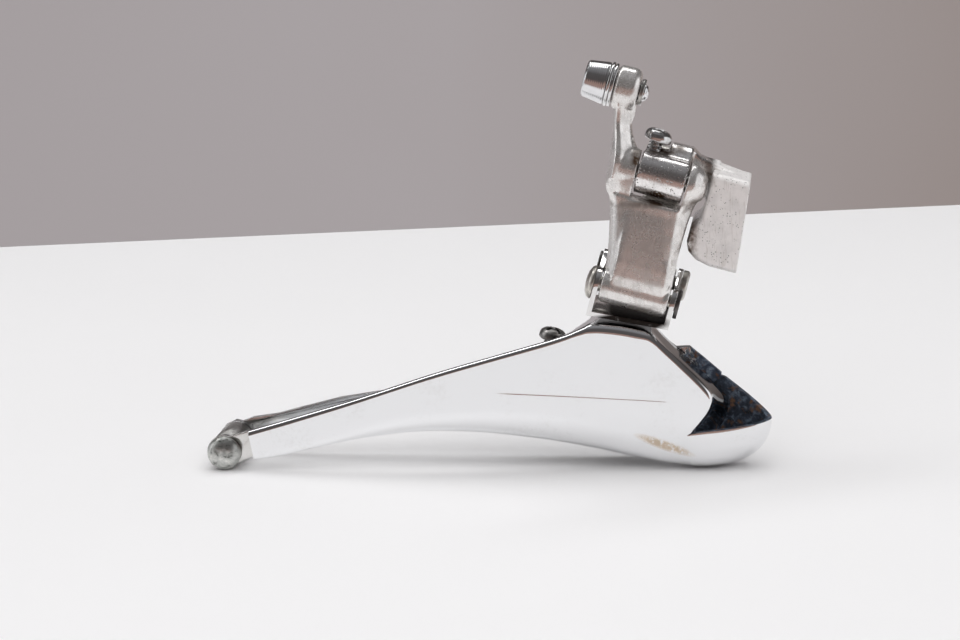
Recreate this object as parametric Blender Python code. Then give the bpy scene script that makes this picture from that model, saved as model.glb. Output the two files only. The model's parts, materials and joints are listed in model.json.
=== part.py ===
"""Front derailleur for a double chainset: a pressed cage carried on two links by a mount body.

X points to the front of the bicycle, Y inboard and Z up, with the part standing on its tail screw and on the
belly of the cage nose. Lengths below are in millimetres and are scaled to metres when a mesh is made.
"""

import math

import bmesh
import bpy
from mathutils import Vector

MM = 0.001

# Where the linkage stands: its axes lean by TILT about Y; P runs along the pivots, L along the links.
TILT = math.radians(15.5)
P_AXIS = Vector((math.cos(TILT), 0.0, -math.sin(TILT)))
Y_AXIS = Vector((0.0, 1.0, 0.0))
L_AXIS = Vector((math.sin(TILT), 0.0, math.cos(TILT)))
UPPER_OUTER = Vector((92.8, 8.0, 60.2))
LINK_FALL = -24.0
LINK_OUT = -3.0
INNER_Y = 9.0
INNER_L = 2.0

# Pins and fits.
PIN_RADIUS = 1.5
BORE_RADIUS = 1.85
SIDE_GAP = 0.35

# Cage.
SHEET = 1.1
CAGE_WIDTH = 13.4
KEEL_Y = 6.7
SEAM = 0.3
TAIL_Z = 3.65
TAIL_RADIUS = 3.6
EAR_GAUGE = 1.0
LEFT_EAR = -8.0
RIGHT_EAR = 8.9
BARREL_LEFT = -6.65
BARREL_RIGHT = 7.55
BARREL_RADIUS = 3.5
FLANGE_DEPTH = 3.2

# Mount body.
DRUM_RADIUS = 4.3
DRUM_LEFT = -5.2
DRUM_RIGHT = 4.6
BLOCK_TOP = 3.8
BLOCK_BOTTOM = -15.2
BLOCK_OUTER_Y = 6.0
BLOCK_INNER_Y = 19.0
FACE_TOP_P = 17.2
FACE_BOTTOM_P = 19.3
BOLT_HOLE_RADIUS = 2.5
BOLT_HOLE_L = -5.5
BOLT_HOLE_Y = 12.5
SCREW_P = -3.2
SCREW_Y = 11.2
SCREW_LEAN = math.radians(6.0)

# Cable anchor on the arm.
BOSS_L = 15.3
BOSS_Y = 10.5
BOSS_RADIUS = 4.4
BOSS_LEFT = -14.2
BOSS_RIGHT = -9.2

ROUND = 24


def rim_path():
    """Top edge of the outer plate from the tail to the point where the nose begins, as (x, z)."""
    return [
        (5.4, 8.4), (11.6, 10.2), (19.5, 12.6), (26.5, 14.7), (34.1, 17.2), (45.3, 21.0), (59.4, 25.1),
        (71.8, 28.7), (76.0, 30.5), (78.2, 31.6), (84.5, 31.0), (89.4, 29.9), (91.0, 28.7), (92.8, 26.8),
        (96.9, 23.1), (101.3, 18.9), (102.4, 17.4), (100.6, 14.2), (98.4, 11.4),
    ]


def crease_path():
    """Line where the flat of the outer plate turns into the curled band, one point for each rim point."""
    return [
        (6.2, 3.4), (12.0, 4.4), (19.0, 6.2), (24.5, 7.9), (31.6, 10.3), (42.3, 12.6), (55.0, 13.1),
        (66.5, 12.4), (71.4, 12.0), (75.0, 11.5), (80.0, 10.7), (84.0, 9.9), (87.0, 9.2), (89.5, 8.7),
        (91.8, 8.3), (93.2, 8.6), (94.6, 9.2), (96.2, 9.9), (97.6, 10.6),
    ]


def lower_path():
    """Lowest line of the curled band: (x, z, y) for each crease point."""
    return [
        (6.4, 2.2, 0.2), (12.3, 3.1, 0.25), (19.2, 4.8, 0.35), (24.5, 6.0, 0.6), (31.8, 7.3, 1.2),
        (42.5, 8.4, 2.0), (55.0, 8.0, 2.8), (66.5, 6.5, 3.4), (71.4, 5.7, 3.7), (75.0, 5.0, 3.9),
        (80.0, 4.0, 4.1), (84.0, 3.0, 4.3), (87.0, 2.4, 4.5), (89.5, 1.9, 4.7), (91.6, 1.4, 5.0),
        (93.4, 1.0, 5.6), (95.0, 0.7, 6.4), (96.6, 0.45, 6.5), (98.2, 0.25, 6.55),
    ]


def bow_path():
    """Open rim of the nose from the plate to its tip: (x, y, z) of the outer skin, then the keel below it."""
    return [
        ((100.6, 0.1, 10.2), (100.4, 6.55, 0.05)),
        ((104.0, 0.45, 10.3), (103.6, 6.55, 0.1)),
        ((107.2, 1.15, 10.7), (106.4, 6.55, 0.7)),
        ((110.0, 2.3, 11.1), (109.0, 6.55, 1.7)),
        ((112.2, 3.8, 11.4), (111.2, 6.55, 3.1)),
        ((113.6, 5.3, 11.4), (112.8, 6.55, 4.8)),
        ((114.3, 6.55, 11.2), (113.9, 6.55, 6.8)),
    ]


def link_point(p, y, l):
    """Point given along the pivots (p), inboard (y, from the outer plate) and along the links (l)."""
    return Vector((UPPER_OUTER.x, y, UPPER_OUTER.z)) + P_AXIS * p + L_AXIS * l


def face_p(l):
    """Front face of the mount block at height l."""
    share = (BLOCK_TOP - l) / (BLOCK_TOP - BLOCK_BOTTOM)
    return FACE_TOP_P + (FACE_BOTTOM_P - FACE_TOP_P) * share


def face_normal():
    top = link_point(face_p(BLOCK_TOP), 0.0, BLOCK_TOP)
    along = top - link_point(face_p(BLOCK_BOTTOM), 0.0, BLOCK_BOTTOM)
    return along.normalized().cross(Vector((0.0, -1.0, 0.0))).normalized()


ORIGIN = link_point(face_p(0.9), BOLT_HOLE_Y, 0.9)


def clear_scene():
    for item in list(bpy.data.objects):
        bpy.data.objects.remove(item)


def metal(name, colour, roughness):
    made = bpy.data.materials.new(name)
    made.use_nodes = True
    shader = made.node_tree.nodes["Principled BSDF"]
    shader.inputs["Base Color"].default_value = (*colour, 1.0)
    shader.inputs["Metallic"].default_value = 1.0
    shader.inputs["Roughness"].default_value = roughness
    return made


def solid(name, points, faces):
    """Closed mesh object from points in millimetres, with its faces turned outwards."""
    bm = bmesh.new()
    verts = [bm.verts.new((Vector(point) - ORIGIN) * MM) for point in points]
    for face in faces:
        bm.faces.new([verts[index] for index in face])
    bmesh.ops.recalc_face_normals(bm, faces=bm.faces)
    if bm.calc_volume(signed=True) < 0:
        bmesh.ops.reverse_faces(bm, faces=bm.faces)
    mesh = bpy.data.meshes.new(name)
    bm.to_mesh(mesh)
    bm.free()
    made = bpy.data.objects.new(name, mesh)
    bpy.context.scene.collection.objects.link(made)
    return made


def loft(name, rings):
    """Skin over closed rings of equal length, with flat ends."""
    count = len(rings[0])
    points = [point for ring in rings for point in ring]
    faces = [list(range(count))]
    faces.append([(len(rings) - 1) * count + index for index in range(count)])
    for row in range(len(rings) - 1):
        for index in range(count):
            after = (index + 1) % count
            low = row * count
            faces.append([low + index, low + after, low + count + after, low + count + index])
    return solid(name, points, faces)


def lathe(name, start, axis, profile, segments=ROUND, turn=0.0):
    """Solid of revolution: profile of (distance along axis, radius); a radius of 0 at an end closes it."""
    axis = Vector(axis).normalized()
    side = axis.orthogonal().normalized()
    other = axis.cross(side)
    points = []
    rings = []
    for along, radius in profile:
        centre = Vector(start) + axis * along
        if radius <= 0.0:
            points.append(centre)
            rings.append([len(points) - 1])
            continue
        ring = []
        for step in range(segments):
            angle = turn + 2.0 * math.pi * step / segments
            points.append(centre + (side * math.cos(angle) + other * math.sin(angle)) * radius)
            ring.append(len(points) - 1)
        rings.append(ring)
    faces = []
    for low, high in zip(rings, rings[1:]):
        for step in range(segments):
            after = (step + 1) % segments
            if len(low) == 1:
                faces.append([low[0], high[step], high[after]])
            elif len(high) == 1:
                faces.append([low[step], low[after], high[0]])
            else:
                faces.append([low[step], low[after], high[after], high[step]])
    if len(rings[0]) > 1:
        faces.append(list(rings[0]))
    if len(rings[-1]) > 1:
        faces.append(list(rings[-1]))
    return solid(name, points, faces)


def ring_solid(name, start, axis, length, inner, outer, segments=ROUND):
    """Washer or sleeve: a tube with square ends."""
    axis = Vector(axis).normalized()
    side = axis.orthogonal().normalized()
    other = axis.cross(side)
    points = []
    faces = []
    corners = [(0.0, inner), (0.0, outer), (length, outer), (length, inner)]
    for step in range(segments):
        angle = 2.0 * math.pi * step / segments
        arm = side * math.cos(angle) + other * math.sin(angle)
        for along, radius in corners:
            points.append(Vector(start) + axis * along + arm * radius)
    for step in range(segments):
        here = step * 4
        there = ((step + 1) % segments) * 4
        for corner in range(4):
            after = (corner + 1) % 4
            faces.append([here + corner, here + after, there + after, there + corner])
    return solid(name, points, faces)


def prism_along_p(name, outline, low, high):
    """Outline of (y, l) points drawn out along the pivots."""
    return loft(name, [[link_point(p, y, l) for y, l in outline] for p in (low, high)])


def prism_along_y(name, outline, low, high):
    """Outline of (p, l) points drawn out inboard."""
    return loft(name, [[link_point(p, y, l) for p, l in outline] for y in (low, high)])


def bake(made):
    """Swap an object's mesh for the result of its modifiers."""
    graph = bpy.context.evaluated_depsgraph_get()
    mesh = bpy.data.meshes.new_from_object(made.evaluated_get(graph))
    old = made.data
    made.modifiers.clear()
    made.data = mesh
    bpy.data.meshes.remove(old)


def combine(target, tool, operation):
    step = target.modifiers.new("shape", "BOOLEAN")
    step.operation = operation
    step.solver = "EXACT"
    step.object = tool
    bpy.context.view_layer.update()
    bake(target)
    bpy.data.objects.remove(tool)
    return target


def drill(target, start, axis, radius, reach):
    """Cut a round hole that runs from start along axis."""
    return combine(target, lathe("hole", start, axis, [(0.0, radius), (reach, radius)], 20), "DIFFERENCE")


def arc(centre_y, centre_l, radius, start, end, steps):
    """Points on an arc in the (y, l) plane, angles in degrees from +y towards +l."""
    found = []
    for step in range(steps + 1):
        angle = math.radians(start + (end - start) * step / steps)
        found.append((centre_y + radius * math.cos(angle), centre_l + radius * math.sin(angle)))
    return found


def finish(made, pivot, surface):
    """Origin on the pivot, surface material, smooth rounds with crisp edges, faces checked outwards."""
    bm = bmesh.new()
    bm.from_mesh(made.data)
    bmesh.ops.remove_doubles(bm, verts=bm.verts, dist=0.000002)
    bmesh.ops.dissolve_degenerate(bm, edges=bm.edges, dist=0.000001)
    shift = (Vector(pivot) - ORIGIN) * MM
    bmesh.ops.translate(bm, verts=bm.verts, vec=-shift)
    bm.to_mesh(made.data)
    bm.free()
    made.location = shift
    made.data.materials.clear()
    made.data.materials.append(surface)
    made.data.shade_smooth()
    made.data.set_sharp_from_angle(angle=math.radians(32.0))
    return made


def outer_low():
    return link_point(0.0, UPPER_OUTER.y + LINK_OUT, LINK_FALL)


def inner_high():
    return link_point(0.0, UPPER_OUTER.y + INNER_Y, INNER_L)


def inner_low():
    return link_point(0.0, UPPER_OUTER.y + INNER_Y + LINK_OUT, INNER_L + LINK_FALL)


def flange_depths(count):
    """Width of the inward flange along the rim; it widens into the bridge under the links."""
    depths = [FLANGE_DEPTH] * count
    wide = CAGE_WIDTH - SHEET - SIDE_GAP
    for index, depth in ((8, 8.5), (9, wide), (10, wide), (11, wide), (12, 10.8), (13, 10.2), (14, 10.0),
                         (15, 8.8), (16, 6.5)):
        depths[index] = depth
    return depths


def outer_skin():
    """Outer surface of the outer plate as rows of points: flange, bend, flat, crease and curled band."""
    rim = rim_path()
    crease = crease_path()
    lower = lower_path()
    depths = flange_depths(len(rim))
    columns = []
    for (rx, rz), (cx, cz), (lx, lz, ly), depth in zip(rim, crease, lower, depths):
        down = Vector((cx - rx, 0.0, cz - rz))
        reach = min(1.0, down.length * 0.45)
        down.normalize()
        top = Vector((rx, 0.0, rz))
        column = [top + Vector((0.0, depth, 0.35))]
        column.append(top + Vector((0.0, reach, 0.0)))
        column.append(top + down * reach * 0.3 + Vector((0.0, reach * 0.3, 0.0)))
        column.append(top + down * reach)
        column.append((top + down * reach) * 0.5 + Vector((cx, 0.0, cz)) * 0.5)
        columns.append((column, [Vector((cx, 0.0, cz)), Vector((lx, ly, lz))]))
    return columns


def band_points(top, low, steps, fullness=2.0):
    """Rounded quarter from the crease down to the lowest line; more fullness makes a squarer turn."""
    found = []
    power = 2.0 / fullness
    for step in range(steps + 1):
        angle = 0.5 * math.pi * step / steps
        share_in = 1.0 - max(math.cos(angle), 0.0) ** power
        share_down = math.sin(angle) ** power
        found.append(Vector((
            top.x + (low.x - top.x) * share_down,
            top.y + (low.y - top.y) * share_in,
            top.z + (low.z - top.z) * share_down,
        )))
    return found


def thicken(name, grid_points, faces, depth):
    """Sheet of even thickness behind a surface whose faces look outwards."""
    bm = bmesh.new()
    verts = [bm.verts.new((point - ORIGIN) * MM) for point in grid_points]
    for face in faces:
        bm.faces.new([verts[index] for index in face])
    bm.normal_update()
    mesh = bpy.data.meshes.new(name)
    bm.to_mesh(mesh)
    bm.free()
    made = bpy.data.objects.new(name, mesh)
    bpy.context.scene.collection.objects.link(made)
    shell = made.modifiers.new("sheet", "SOLIDIFY")
    shell.thickness = depth * MM
    shell.offset = -1.0
    shell.use_even_offset = True
    shell.use_quality_normals = True
    bpy.context.view_layer.update()
    bake(made)
    return made


def nose_half(near, far):
    """Block over one side of the nose, used to trim the other side at the seam along the keel."""
    return loft("half", [
        [(x, y, z) for y, z in ((near, -5.0), (far, -5.0), (far, 19.0), (near, 19.0))] for x in (93.5, 125.0)
    ])


def cage_outer_plate(surface):
    """Outer plate, inward flange, bridge, curled band and the outer half of the closed nose."""
    points = []
    faces = []
    upper = []
    lower = []
    steps = 4
    for column, (crease, low) in outer_skin():
        row = []
        for point in column:
            points.append(point)
            row.append(len(points) - 1)
        upper.append(row)
        band = []
        fullness = 2.0 + 0.8 * min(max((low.x - 80.0) / 16.0, 0.0), 1.0)
        for point in band_points(crease, low, steps, fullness):
            points.append(point)
            band.append(len(points) - 1)
        lower.append(band)
        row.append(band[0])
    for top, low in bow_path():
        band = []
        for point in band_points(Vector(top), Vector(low), steps, 2.8):
            points.append(point)
            band.append(len(points) - 1)
        lower.append(band)
    for left, right in zip(upper, upper[1:]):
        for row in range(len(left) - 1):
            faces.append([left[row], left[row + 1], right[row + 1], right[row]])
    for left, right in zip(lower, lower[1:]):
        for row in range(len(left) - 1):
            faces.append([left[row], left[row + 1], right[row + 1], right[row]])
    made = thicken("cage_outer_plate", points, faces, SHEET)
    combine(made, nose_half(KEEL_Y - SEAM / 2, 30.0), "DIFFERENCE")
    tab = loft("tab", [
        [(x, y, z) for x, z in tail_outline(7.6)] for y in (1.15, 2.2)
    ])
    combine(made, tab, "UNION")
    hole = lathe("hole", (0.0, -3.0, TAIL_Z), (0, 1, 0), [(0.0, 1.75), (8.0, 1.75)])
    combine(made, hole, "DIFFERENCE")
    return finish(made, outer_low(), surface)


def tail_outline(reach):
    """Rounded tail tab round the tail screw, running forward to x = reach."""
    found = [(reach, 3.4), (reach, 8.8), (3.2, 7.6)]
    for step in range(9):
        angle = math.radians(75.0 + 210.0 * step / 8)
        found.append((3.9 * math.cos(angle), TAIL_Z + 3.45 * math.sin(angle)))
    return found


def inner_plate_outline():
    """Edge of the flat of the inner plate as (x, z), clockwise from the tail and round its tail eye."""
    found = [
        (3.6, 8.0), (9.0, 8.8), (14.1, 10.2), (23.0, 12.5), (34.8, 14.4), (59.0, 21.6), (71.0, 25.1),
        (77.0, 28.4), (88.0, 27.8), (92.0, 25.9), (94.6, 23.8), (97.4, 23.9), (100.6, 21.2), (104.5, 17.9),
        (104.0, 9.0), (97.5, 5.6), (92.0, 3.6), (90.0, 2.2), (80.0, 4.6), (71.0, 6.3), (62.0, 7.8),
        (52.0, 8.6), (42.0, 8.4), (30.0, 7.0), (19.0, 4.8), (9.0, 2.2),
    ]
    for step in range(9):
        angle = math.radians(285.0 - 210.0 * step / 8)
        found.append((3.9 * math.cos(angle), TAIL_Z + 3.45 * math.sin(angle)))
    return found


def low_seat():
    """Underside of the lower limit screw's head, over the lug of the inner plate."""
    return Vector((69.3, 7.6, 26.6))


def cage_inner_plate(surface):
    """Inner plate, its tail eye and the inner half of the closed nose."""
    outline = inner_plate_outline()
    inside = CAGE_WIDTH - SHEET
    made = loft("cage_inner_plate", [[(x, y, z) for x, z in outline] for y in (inside, CAGE_WIDTH)])
    points = []
    faces = []
    rows = []
    wall = [
        ((88.0, CAGE_WIDTH + 0.05, 7.0), (88.0, CAGE_WIDTH - 1.2, 2.4)),
        ((92.5, CAGE_WIDTH + 0.05, 8.0), (92.3, 10.2, 1.3)),
        ((96.5, CAGE_WIDTH + 0.05, 10.0), (96.5, 7.0, 0.5)),
        ((100.6, CAGE_WIDTH + 0.05, 14.0), (100.4, 7.0, 0.05)),
        ((104.0, CAGE_WIDTH - 0.1, 18.6), (103.6, 7.0, 0.1)),
        ((107.2, CAGE_WIDTH - 0.8, 16.0), (106.4, 7.0, 0.7)),
        ((110.0, CAGE_WIDTH - 2.0, 13.8), (109.0, 7.0, 1.7)),
        ((112.2, CAGE_WIDTH - 3.5, 12.3), (111.2, 7.0, 3.1)),
        ((113.6, CAGE_WIDTH - 5.1, 11.5), (112.8, 7.0, 4.8)),
        ((114.3, 7.0, 11.2), (113.9, 7.0, 6.8)),
    ]
    for top, low in wall:
        row = []
        for point in band_points(Vector(top), Vector(low), 5, 2.8):
            points.append(point)
            row.append(len(points) - 1)
        rows.append(row)
    for left, right in zip(rows, rows[1:]):
        for row in range(len(left) - 1):
            faces.append([left[row], right[row], right[row + 1], left[row + 1]])
    bow = thicken("bow", points, faces, SHEET)
    combine(bow, nose_half(-10.0, KEEL_Y + SEAM / 2), "DIFFERENCE")
    combine(made, bow, "UNION")
    root = CAGE_WIDTH - 0.2
    lug = loft("lug", [
        [(x, 4.8, high - SHEET), (x, 4.8, high), (x, root, high), (x, root, high - SHEET)]
        for x, high in ((64.8, 23.6), (73.6, 26.2))
    ])
    combine(made, lug, "UNION")
    drill(made, low_seat() + L_AXIS, -L_AXIS, 1.85, 10.0)
    hole = lathe("hole", (0.0, 10.0, TAIL_Z), (0, 1, 0), [(0.0, 1.75), (8.0, 1.75)])
    combine(made, hole, "DIFFERENCE")
    return finish(made, outer_low(), surface)


def ear_outline():
    """Cheek of the cage bracket seen along the pivots: round each pin, down to the bridge."""
    low = outer_low()
    inner = inner_low()
    found = [(low.y - 2.6, -34.0), (low.y - 3.2, LINK_FALL - 2.0)]
    found += arc(low.y, LINK_FALL, 3.3, 190.0, 50.0, 7)
    found += arc(inner.y, INNER_L + LINK_FALL, 3.3, 130.0, -5.0, 7)
    found += [(inner.y + 2.8, -34.0)]
    return found


def cage_bracket(surface):
    """Sheet bracket: two cheeks rising from a strip laid on the bridge."""
    gauge = EAR_GAUGE
    strip_left = -30.5
    strip_right = -29.0
    profile = [
        (LEFT_EAR, -17.0), (LEFT_EAR, strip_left), (RIGHT_EAR, strip_right), (RIGHT_EAR, -17.0),
        (RIGHT_EAR - gauge, -17.0), (RIGHT_EAR - gauge, strip_right + gauge - 0.1),
        (LEFT_EAR + gauge, strip_left + gauge + 0.1), (LEFT_EAR + gauge, -17.0),
    ]
    made = prism_along_y("cage_bracket", profile, 1.0, 20.0)
    combine(made, prism_along_p("outline", ear_outline(), -10.0, 10.0), "INTERSECT")
    for centre_y, centre_l in ((outer_low().y, LINK_FALL), (inner_low().y, INNER_L + LINK_FALL)):
        hole = lathe("hole", link_point(-12.0, centre_y, centre_l), P_AXIS, [(0.0, 1.75), (24.0, 1.75)])
        combine(made, hole, "DIFFERENCE")
    return finish(made, outer_low(), surface)


def pin(name, centre, left, right, left_head, right_head, pivot, surface):
    """Pin along the pivots with a domed head at the left and a flat one at the right."""
    profile = []
    if left_head:
        radius, depth = left_head
        profile += [(left - depth, 0.0), (left - depth * 0.85, radius * 0.55), (left - depth * 0.35, radius)]
        profile += [(left, radius), (left, PIN_RADIUS)]
    else:
        profile += [(left, 0.0), (left, PIN_RADIUS)]
    if right_head:
        radius, depth = right_head
        profile += [(right, PIN_RADIUS), (right, radius), (right + depth * 0.8, radius)]
        profile += [(right + depth, radius * 0.8), (right + depth, 0.0)]
    else:
        profile += [(right, PIN_RADIUS), (right, 0.0)]
    return finish(lathe(name, centre, P_AXIS, profile, 20), pivot, surface)


def link_section(left, right, front, back, bevel, l):
    """Link cross-section at height l: flat outer face with a bevel at each side."""
    shoulder = front + bevel * 0.75
    return [
        link_point(left, back, l), link_point(left, shoulder, l), link_point(left + bevel, front, l),
        link_point(right - bevel, front, l), link_point(right, shoulder, l), link_point(right, back, l),
    ]


def outer_link(surface):
    """Outer link: broad waisted plate, two pivot eyes, lower barrel and the cable arm."""
    made = loft("outer_link", [
        link_section(-6.5, 7.3, 2.7, 6.6, 1.2, -27.0),
        link_section(-6.6, 7.5, 1.7, 7.2, 1.6, -25.0),
        link_section(-6.7, 7.5, 1.5, 7.4, 1.8, -20.3),
        link_section(-7.6, 7.5, 1.7, 7.5, 2.0, -18.0),
        link_section(-8.4, 7.3, 2.1, 7.8, 2.2, -15.0),
        link_section(-8.8, 7.3, 2.8, 8.4, 2.2, -10.0),
        link_section(-9.3, 7.4, 3.5, 9.4, 2.0, -4.8),
    ])
    low = outer_low()
    barrel = lathe("barrel", link_point(BARREL_LEFT, low.y, LINK_FALL), P_AXIS,
                   [(0.0, BARREL_RADIUS), (BARREL_RIGHT - BARREL_LEFT, BARREL_RADIUS)], 28)
    combine(made, barrel, "UNION")
    top = UPPER_OUTER.y
    left_eye = lathe("eye", link_point(-10.8, top, 0.0), P_AXIS, [(0.0, 3.0), (1.6, 4.3), (5.25, 4.5)], 28)
    right_eye = lathe("eye", link_point(4.95, top, 0.0), P_AXIS, [(0.0, 4.5), (1.9, 4.3), (4.0, 2.5)], 28)
    for low_p, high_p, eye in ((-9.7, -5.55, left_eye), (4.95, 7.35, right_eye)):
        neck = prism_along_p("neck", [(3.6, -7.0), (3.65, 0.0), (11.8, 0.0), (9.2, -7.0)], low_p, high_p)
        combine(made, neck, "UNION")
        combine(made, eye, "UNION")
    sections = []
    for l, p, half_p, y, half_y in (
        (-0.8, -8.6, 2.2, 8.0, 3.9), (3.4, -9.2, 2.2, 8.3, 3.3), (6.6, -10.2, 1.75, 8.9, 2.3),
        (9.4, -10.7, 1.8, 9.5, 2.4), (12.5, -11.3, 2.6, 10.2, 3.6),
    ):
        ring = []
        for corner in range(8):
            angle = math.radians(22.5 + 45.0 * corner)
            across = half_p * math.cos(angle) * 1.05
            ring.append(link_point(p + across, y + half_y * math.sin(angle) * 1.05, l))
        sections.append(ring)
    combine(made, loft("arm", sections), "UNION")
    width = BOSS_RIGHT - BOSS_LEFT
    profile = [
        (0.0, BOSS_RADIUS - 0.4), (0.5, BOSS_RADIUS), (width - 0.9, BOSS_RADIUS), (width, BOSS_RADIUS - 0.9),
    ]
    boss = lathe("boss", link_point(BOSS_LEFT, BOSS_Y, BOSS_L), P_AXIS, profile, 28)
    combine(made, boss, "UNION")
    for p, y, l, radius, reach in (
        (-12.0, top, 0.0, BORE_RADIUS, 24.0), (-9.0, low.y, LINK_FALL, BORE_RADIUS, 18.0),
        (-16.0, BOSS_Y, BOSS_L, 2.1, 10.0),
    ):
        drill(made, link_point(p, y, l), P_AXIS, radius, reach)
    return finish(made, UPPER_OUTER, surface)


def inner_link(surface):
    """Inner link: narrow strap with one eye above and two below, either side of the return spring."""
    high = inner_high()
    low = inner_low()
    low_l = INNER_L + LINK_FALL
    rings = []
    for l, left, right, y, depth in ((-20.2, -6.3, 7.2, 14.3, 1.3), (-16.0, -6.3, 7.0, 14.8, 1.25),
                                     (-7.5, -4.2, 5.2, 15.8, 1.25), (-5.0, -2.2, 3.9, 16.1, 1.25),
                                     (1.6, -2.2, 3.9, 17.0, 1.3)):
        rings.append([link_point(left, y - depth, l), link_point(right, y - depth, l),
                      link_point(right, y + depth, l), link_point(left, y + depth, l)])
    made = loft("inner_link", rings)
    eye = lathe("eye", link_point(-2.6, high.y, INNER_L), P_AXIS, [(0.0, 2.9), (6.8, 2.9)])
    combine(made, eye, "UNION")
    for start in (BARREL_LEFT, 4.2):
        knuckle = lathe("eye", link_point(start, low.y, low_l), P_AXIS, [(0.0, 2.9), (3.3, 2.9)])
        combine(made, knuckle, "UNION")
    drill(made, link_point(-9.0, high.y, INNER_L), P_AXIS, BORE_RADIUS, 18.0)
    drill(made, link_point(-9.0, low.y, low_l), P_AXIS, BORE_RADIUS, 18.0)
    room = lathe("hole", link_point(-3.0, low.y, low_l), P_AXIS, [(0.0, 3.45), (7.2, 3.45)])
    combine(made, room, "DIFFERENCE")
    return finish(made, inner_high(), surface)


def screw_axis():
    """Lean of the upper limit screw, a little more than that of the links."""
    return (L_AXIS * math.cos(SCREW_LEAN) + P_AXIS * math.sin(SCREW_LEAN)).normalized()


def screw_seat():
    return link_point(SCREW_P, SCREW_Y, 6.5)


def mount_body(surface):
    """Mount body: drum between the outer link's eyes, fork for the inner link and the frame block."""
    made = lathe("mount_body", link_point(DRUM_LEFT, UPPER_OUTER.y, 0.0), P_AXIS,
                 [(0.0, DRUM_RADIUS), (DRUM_RIGHT - DRUM_LEFT, DRUM_RADIUS)], 32)
    web = [(8.3, -3.2), (8.3, 4.15), (10.2, 4.7), (13.8, 4.9), (13.8, 0.6), (10.6, -3.2)]
    combine(made, prism_along_p("web", web, DRUM_LEFT + 0.3, DRUM_RIGHT - 0.3), "UNION")
    high = inner_high()
    cheek = [(13.05, -1.2), (13.05, 4.6)] + arc(high.y, INNER_L, 2.8, 100.0, -60.0, 8)
    combine(made, prism_along_p("cheek", cheek, -4.7, -3.0), "UNION")
    combine(made, prism_along_p("cheek", cheek, DRUM_RIGHT, 10.5), "UNION")
    back = prism_along_p("back", [(13.2, 0.8), (13.2, 4.3), (13.65, 4.3), (13.65, 0.8)], -4.2, 6.5)
    combine(made, back, "UNION")
    outline = [(9.4, BLOCK_TOP), (face_p(BLOCK_TOP), BLOCK_TOP), (face_p(BLOCK_BOTTOM), BLOCK_BOTTOM),
               (13.6, BLOCK_BOTTOM), (10.5, -14.5), (8.7, -13.2), (7.9, -11.4), (7.9, -7.2), (9.4, -5.6)]
    block = loft("block", [
        [link_point(p, BLOCK_OUTER_Y, l) for p, l in inset(outline, 1.4, face=True)],
        [link_point(p, BLOCK_OUTER_Y + 1.4, l) for p, l in outline],
        [link_point(p, BLOCK_INNER_Y - 1.4, l) for p, l in outline],
        [link_point(p, BLOCK_INNER_Y, l) for p, l in inset(outline, 1.4, face=True)],
    ])
    combine(made, block, "UNION")
    top = UPPER_OUTER.y
    drill(made, link_point(-12.0, top, 0.0), P_AXIS, BORE_RADIUS, 18.5)
    drill(made, link_point(-6.0, high.y, INNER_L), P_AXIS, BORE_RADIUS, 14.5)
    drill(made, screw_seat() + screw_axis() * 3.0, -screw_axis(), 1.8, 10.4)
    mouth = link_point(face_p(BOLT_HOLE_L), BOLT_HOLE_Y, BOLT_HOLE_L) + face_normal() * 1.0
    profile = [(0.0, BOLT_HOLE_RADIUS), (7.5, BOLT_HOLE_RADIUS), (8.6, 0.0)]
    combine(made, lathe("hole", mouth, -face_normal(), profile), "DIFFERENCE")
    return finish(made, UPPER_OUTER, surface)


def inset(outline, depth, face=False):
    """The block's outline drawn in by a corner rounding; the front face keeps its plane when asked."""
    middle_p = sum(p for p, _ in outline) / len(outline)
    middle_l = sum(l for _, l in outline) / len(outline)
    found = []
    for p, l in outline:
        new_l = l + math.copysign(min(depth * 0.7, abs(middle_l - l)), middle_l - l)
        new_p = p + math.copysign(depth * 0.5, middle_p - p)
        if face and p > 17.0:
            new_p = face_p(new_l)
        found.append((new_p, new_l))
    return found


def pan_screw(name, seat, axis, head_radius, head_height, shank_radius, shank_length, gap, pivot, surface):
    """Pan-head screw; seat is the underside of the head and axis points out of the head."""
    profile = [
        (-shank_length, 0.0), (-shank_length, shank_radius * 0.7), (-shank_length + 0.6, shank_radius),
        (0.0, shank_radius), (0.0, head_radius), (head_height * 0.45, head_radius),
        (head_height * 0.85, head_radius * 0.78), (head_height, head_radius * 0.45), (head_height, 0.0),
    ]
    made = lathe(name, seat, axis, profile, 20)
    axis = Vector(axis).normalized()
    side = axis.orthogonal().normalized()
    other = axis.cross(side)
    for along, across in ((side, other), (other, side)):
        rings = []
        for depth in (head_height * 0.45, head_height + 1.0):
            centre = Vector(seat) + axis * depth
            ring = []
            for a, b in ((-1, -1), (1, -1), (1, 1), (-1, 1)):
                ring.append(centre + along * a * head_radius * 0.72 + across * b * gap * 0.5)
            rings.append(ring)
        combine(made, loft("slot", rings), "DIFFERENCE")
    return finish(made, pivot, surface)


def cable_bolt(surface):
    """Anchor bolt: tapered drum head on the left, shank through the arm, domed end on the right."""
    start = link_point(0.0, BOSS_Y, BOSS_L)
    profile = [
        (-20.6, 0.0), (-20.6, 3.5), (-20.3, 3.8), (-15.8, 4.4),
        (-15.8, 1.75), (-8.1, 1.75), (-7.4, 1.2), (-7.2, 0.0),
    ]
    return finish(lathe("cable_bolt", start, P_AXIS, profile), start, surface)


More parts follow.
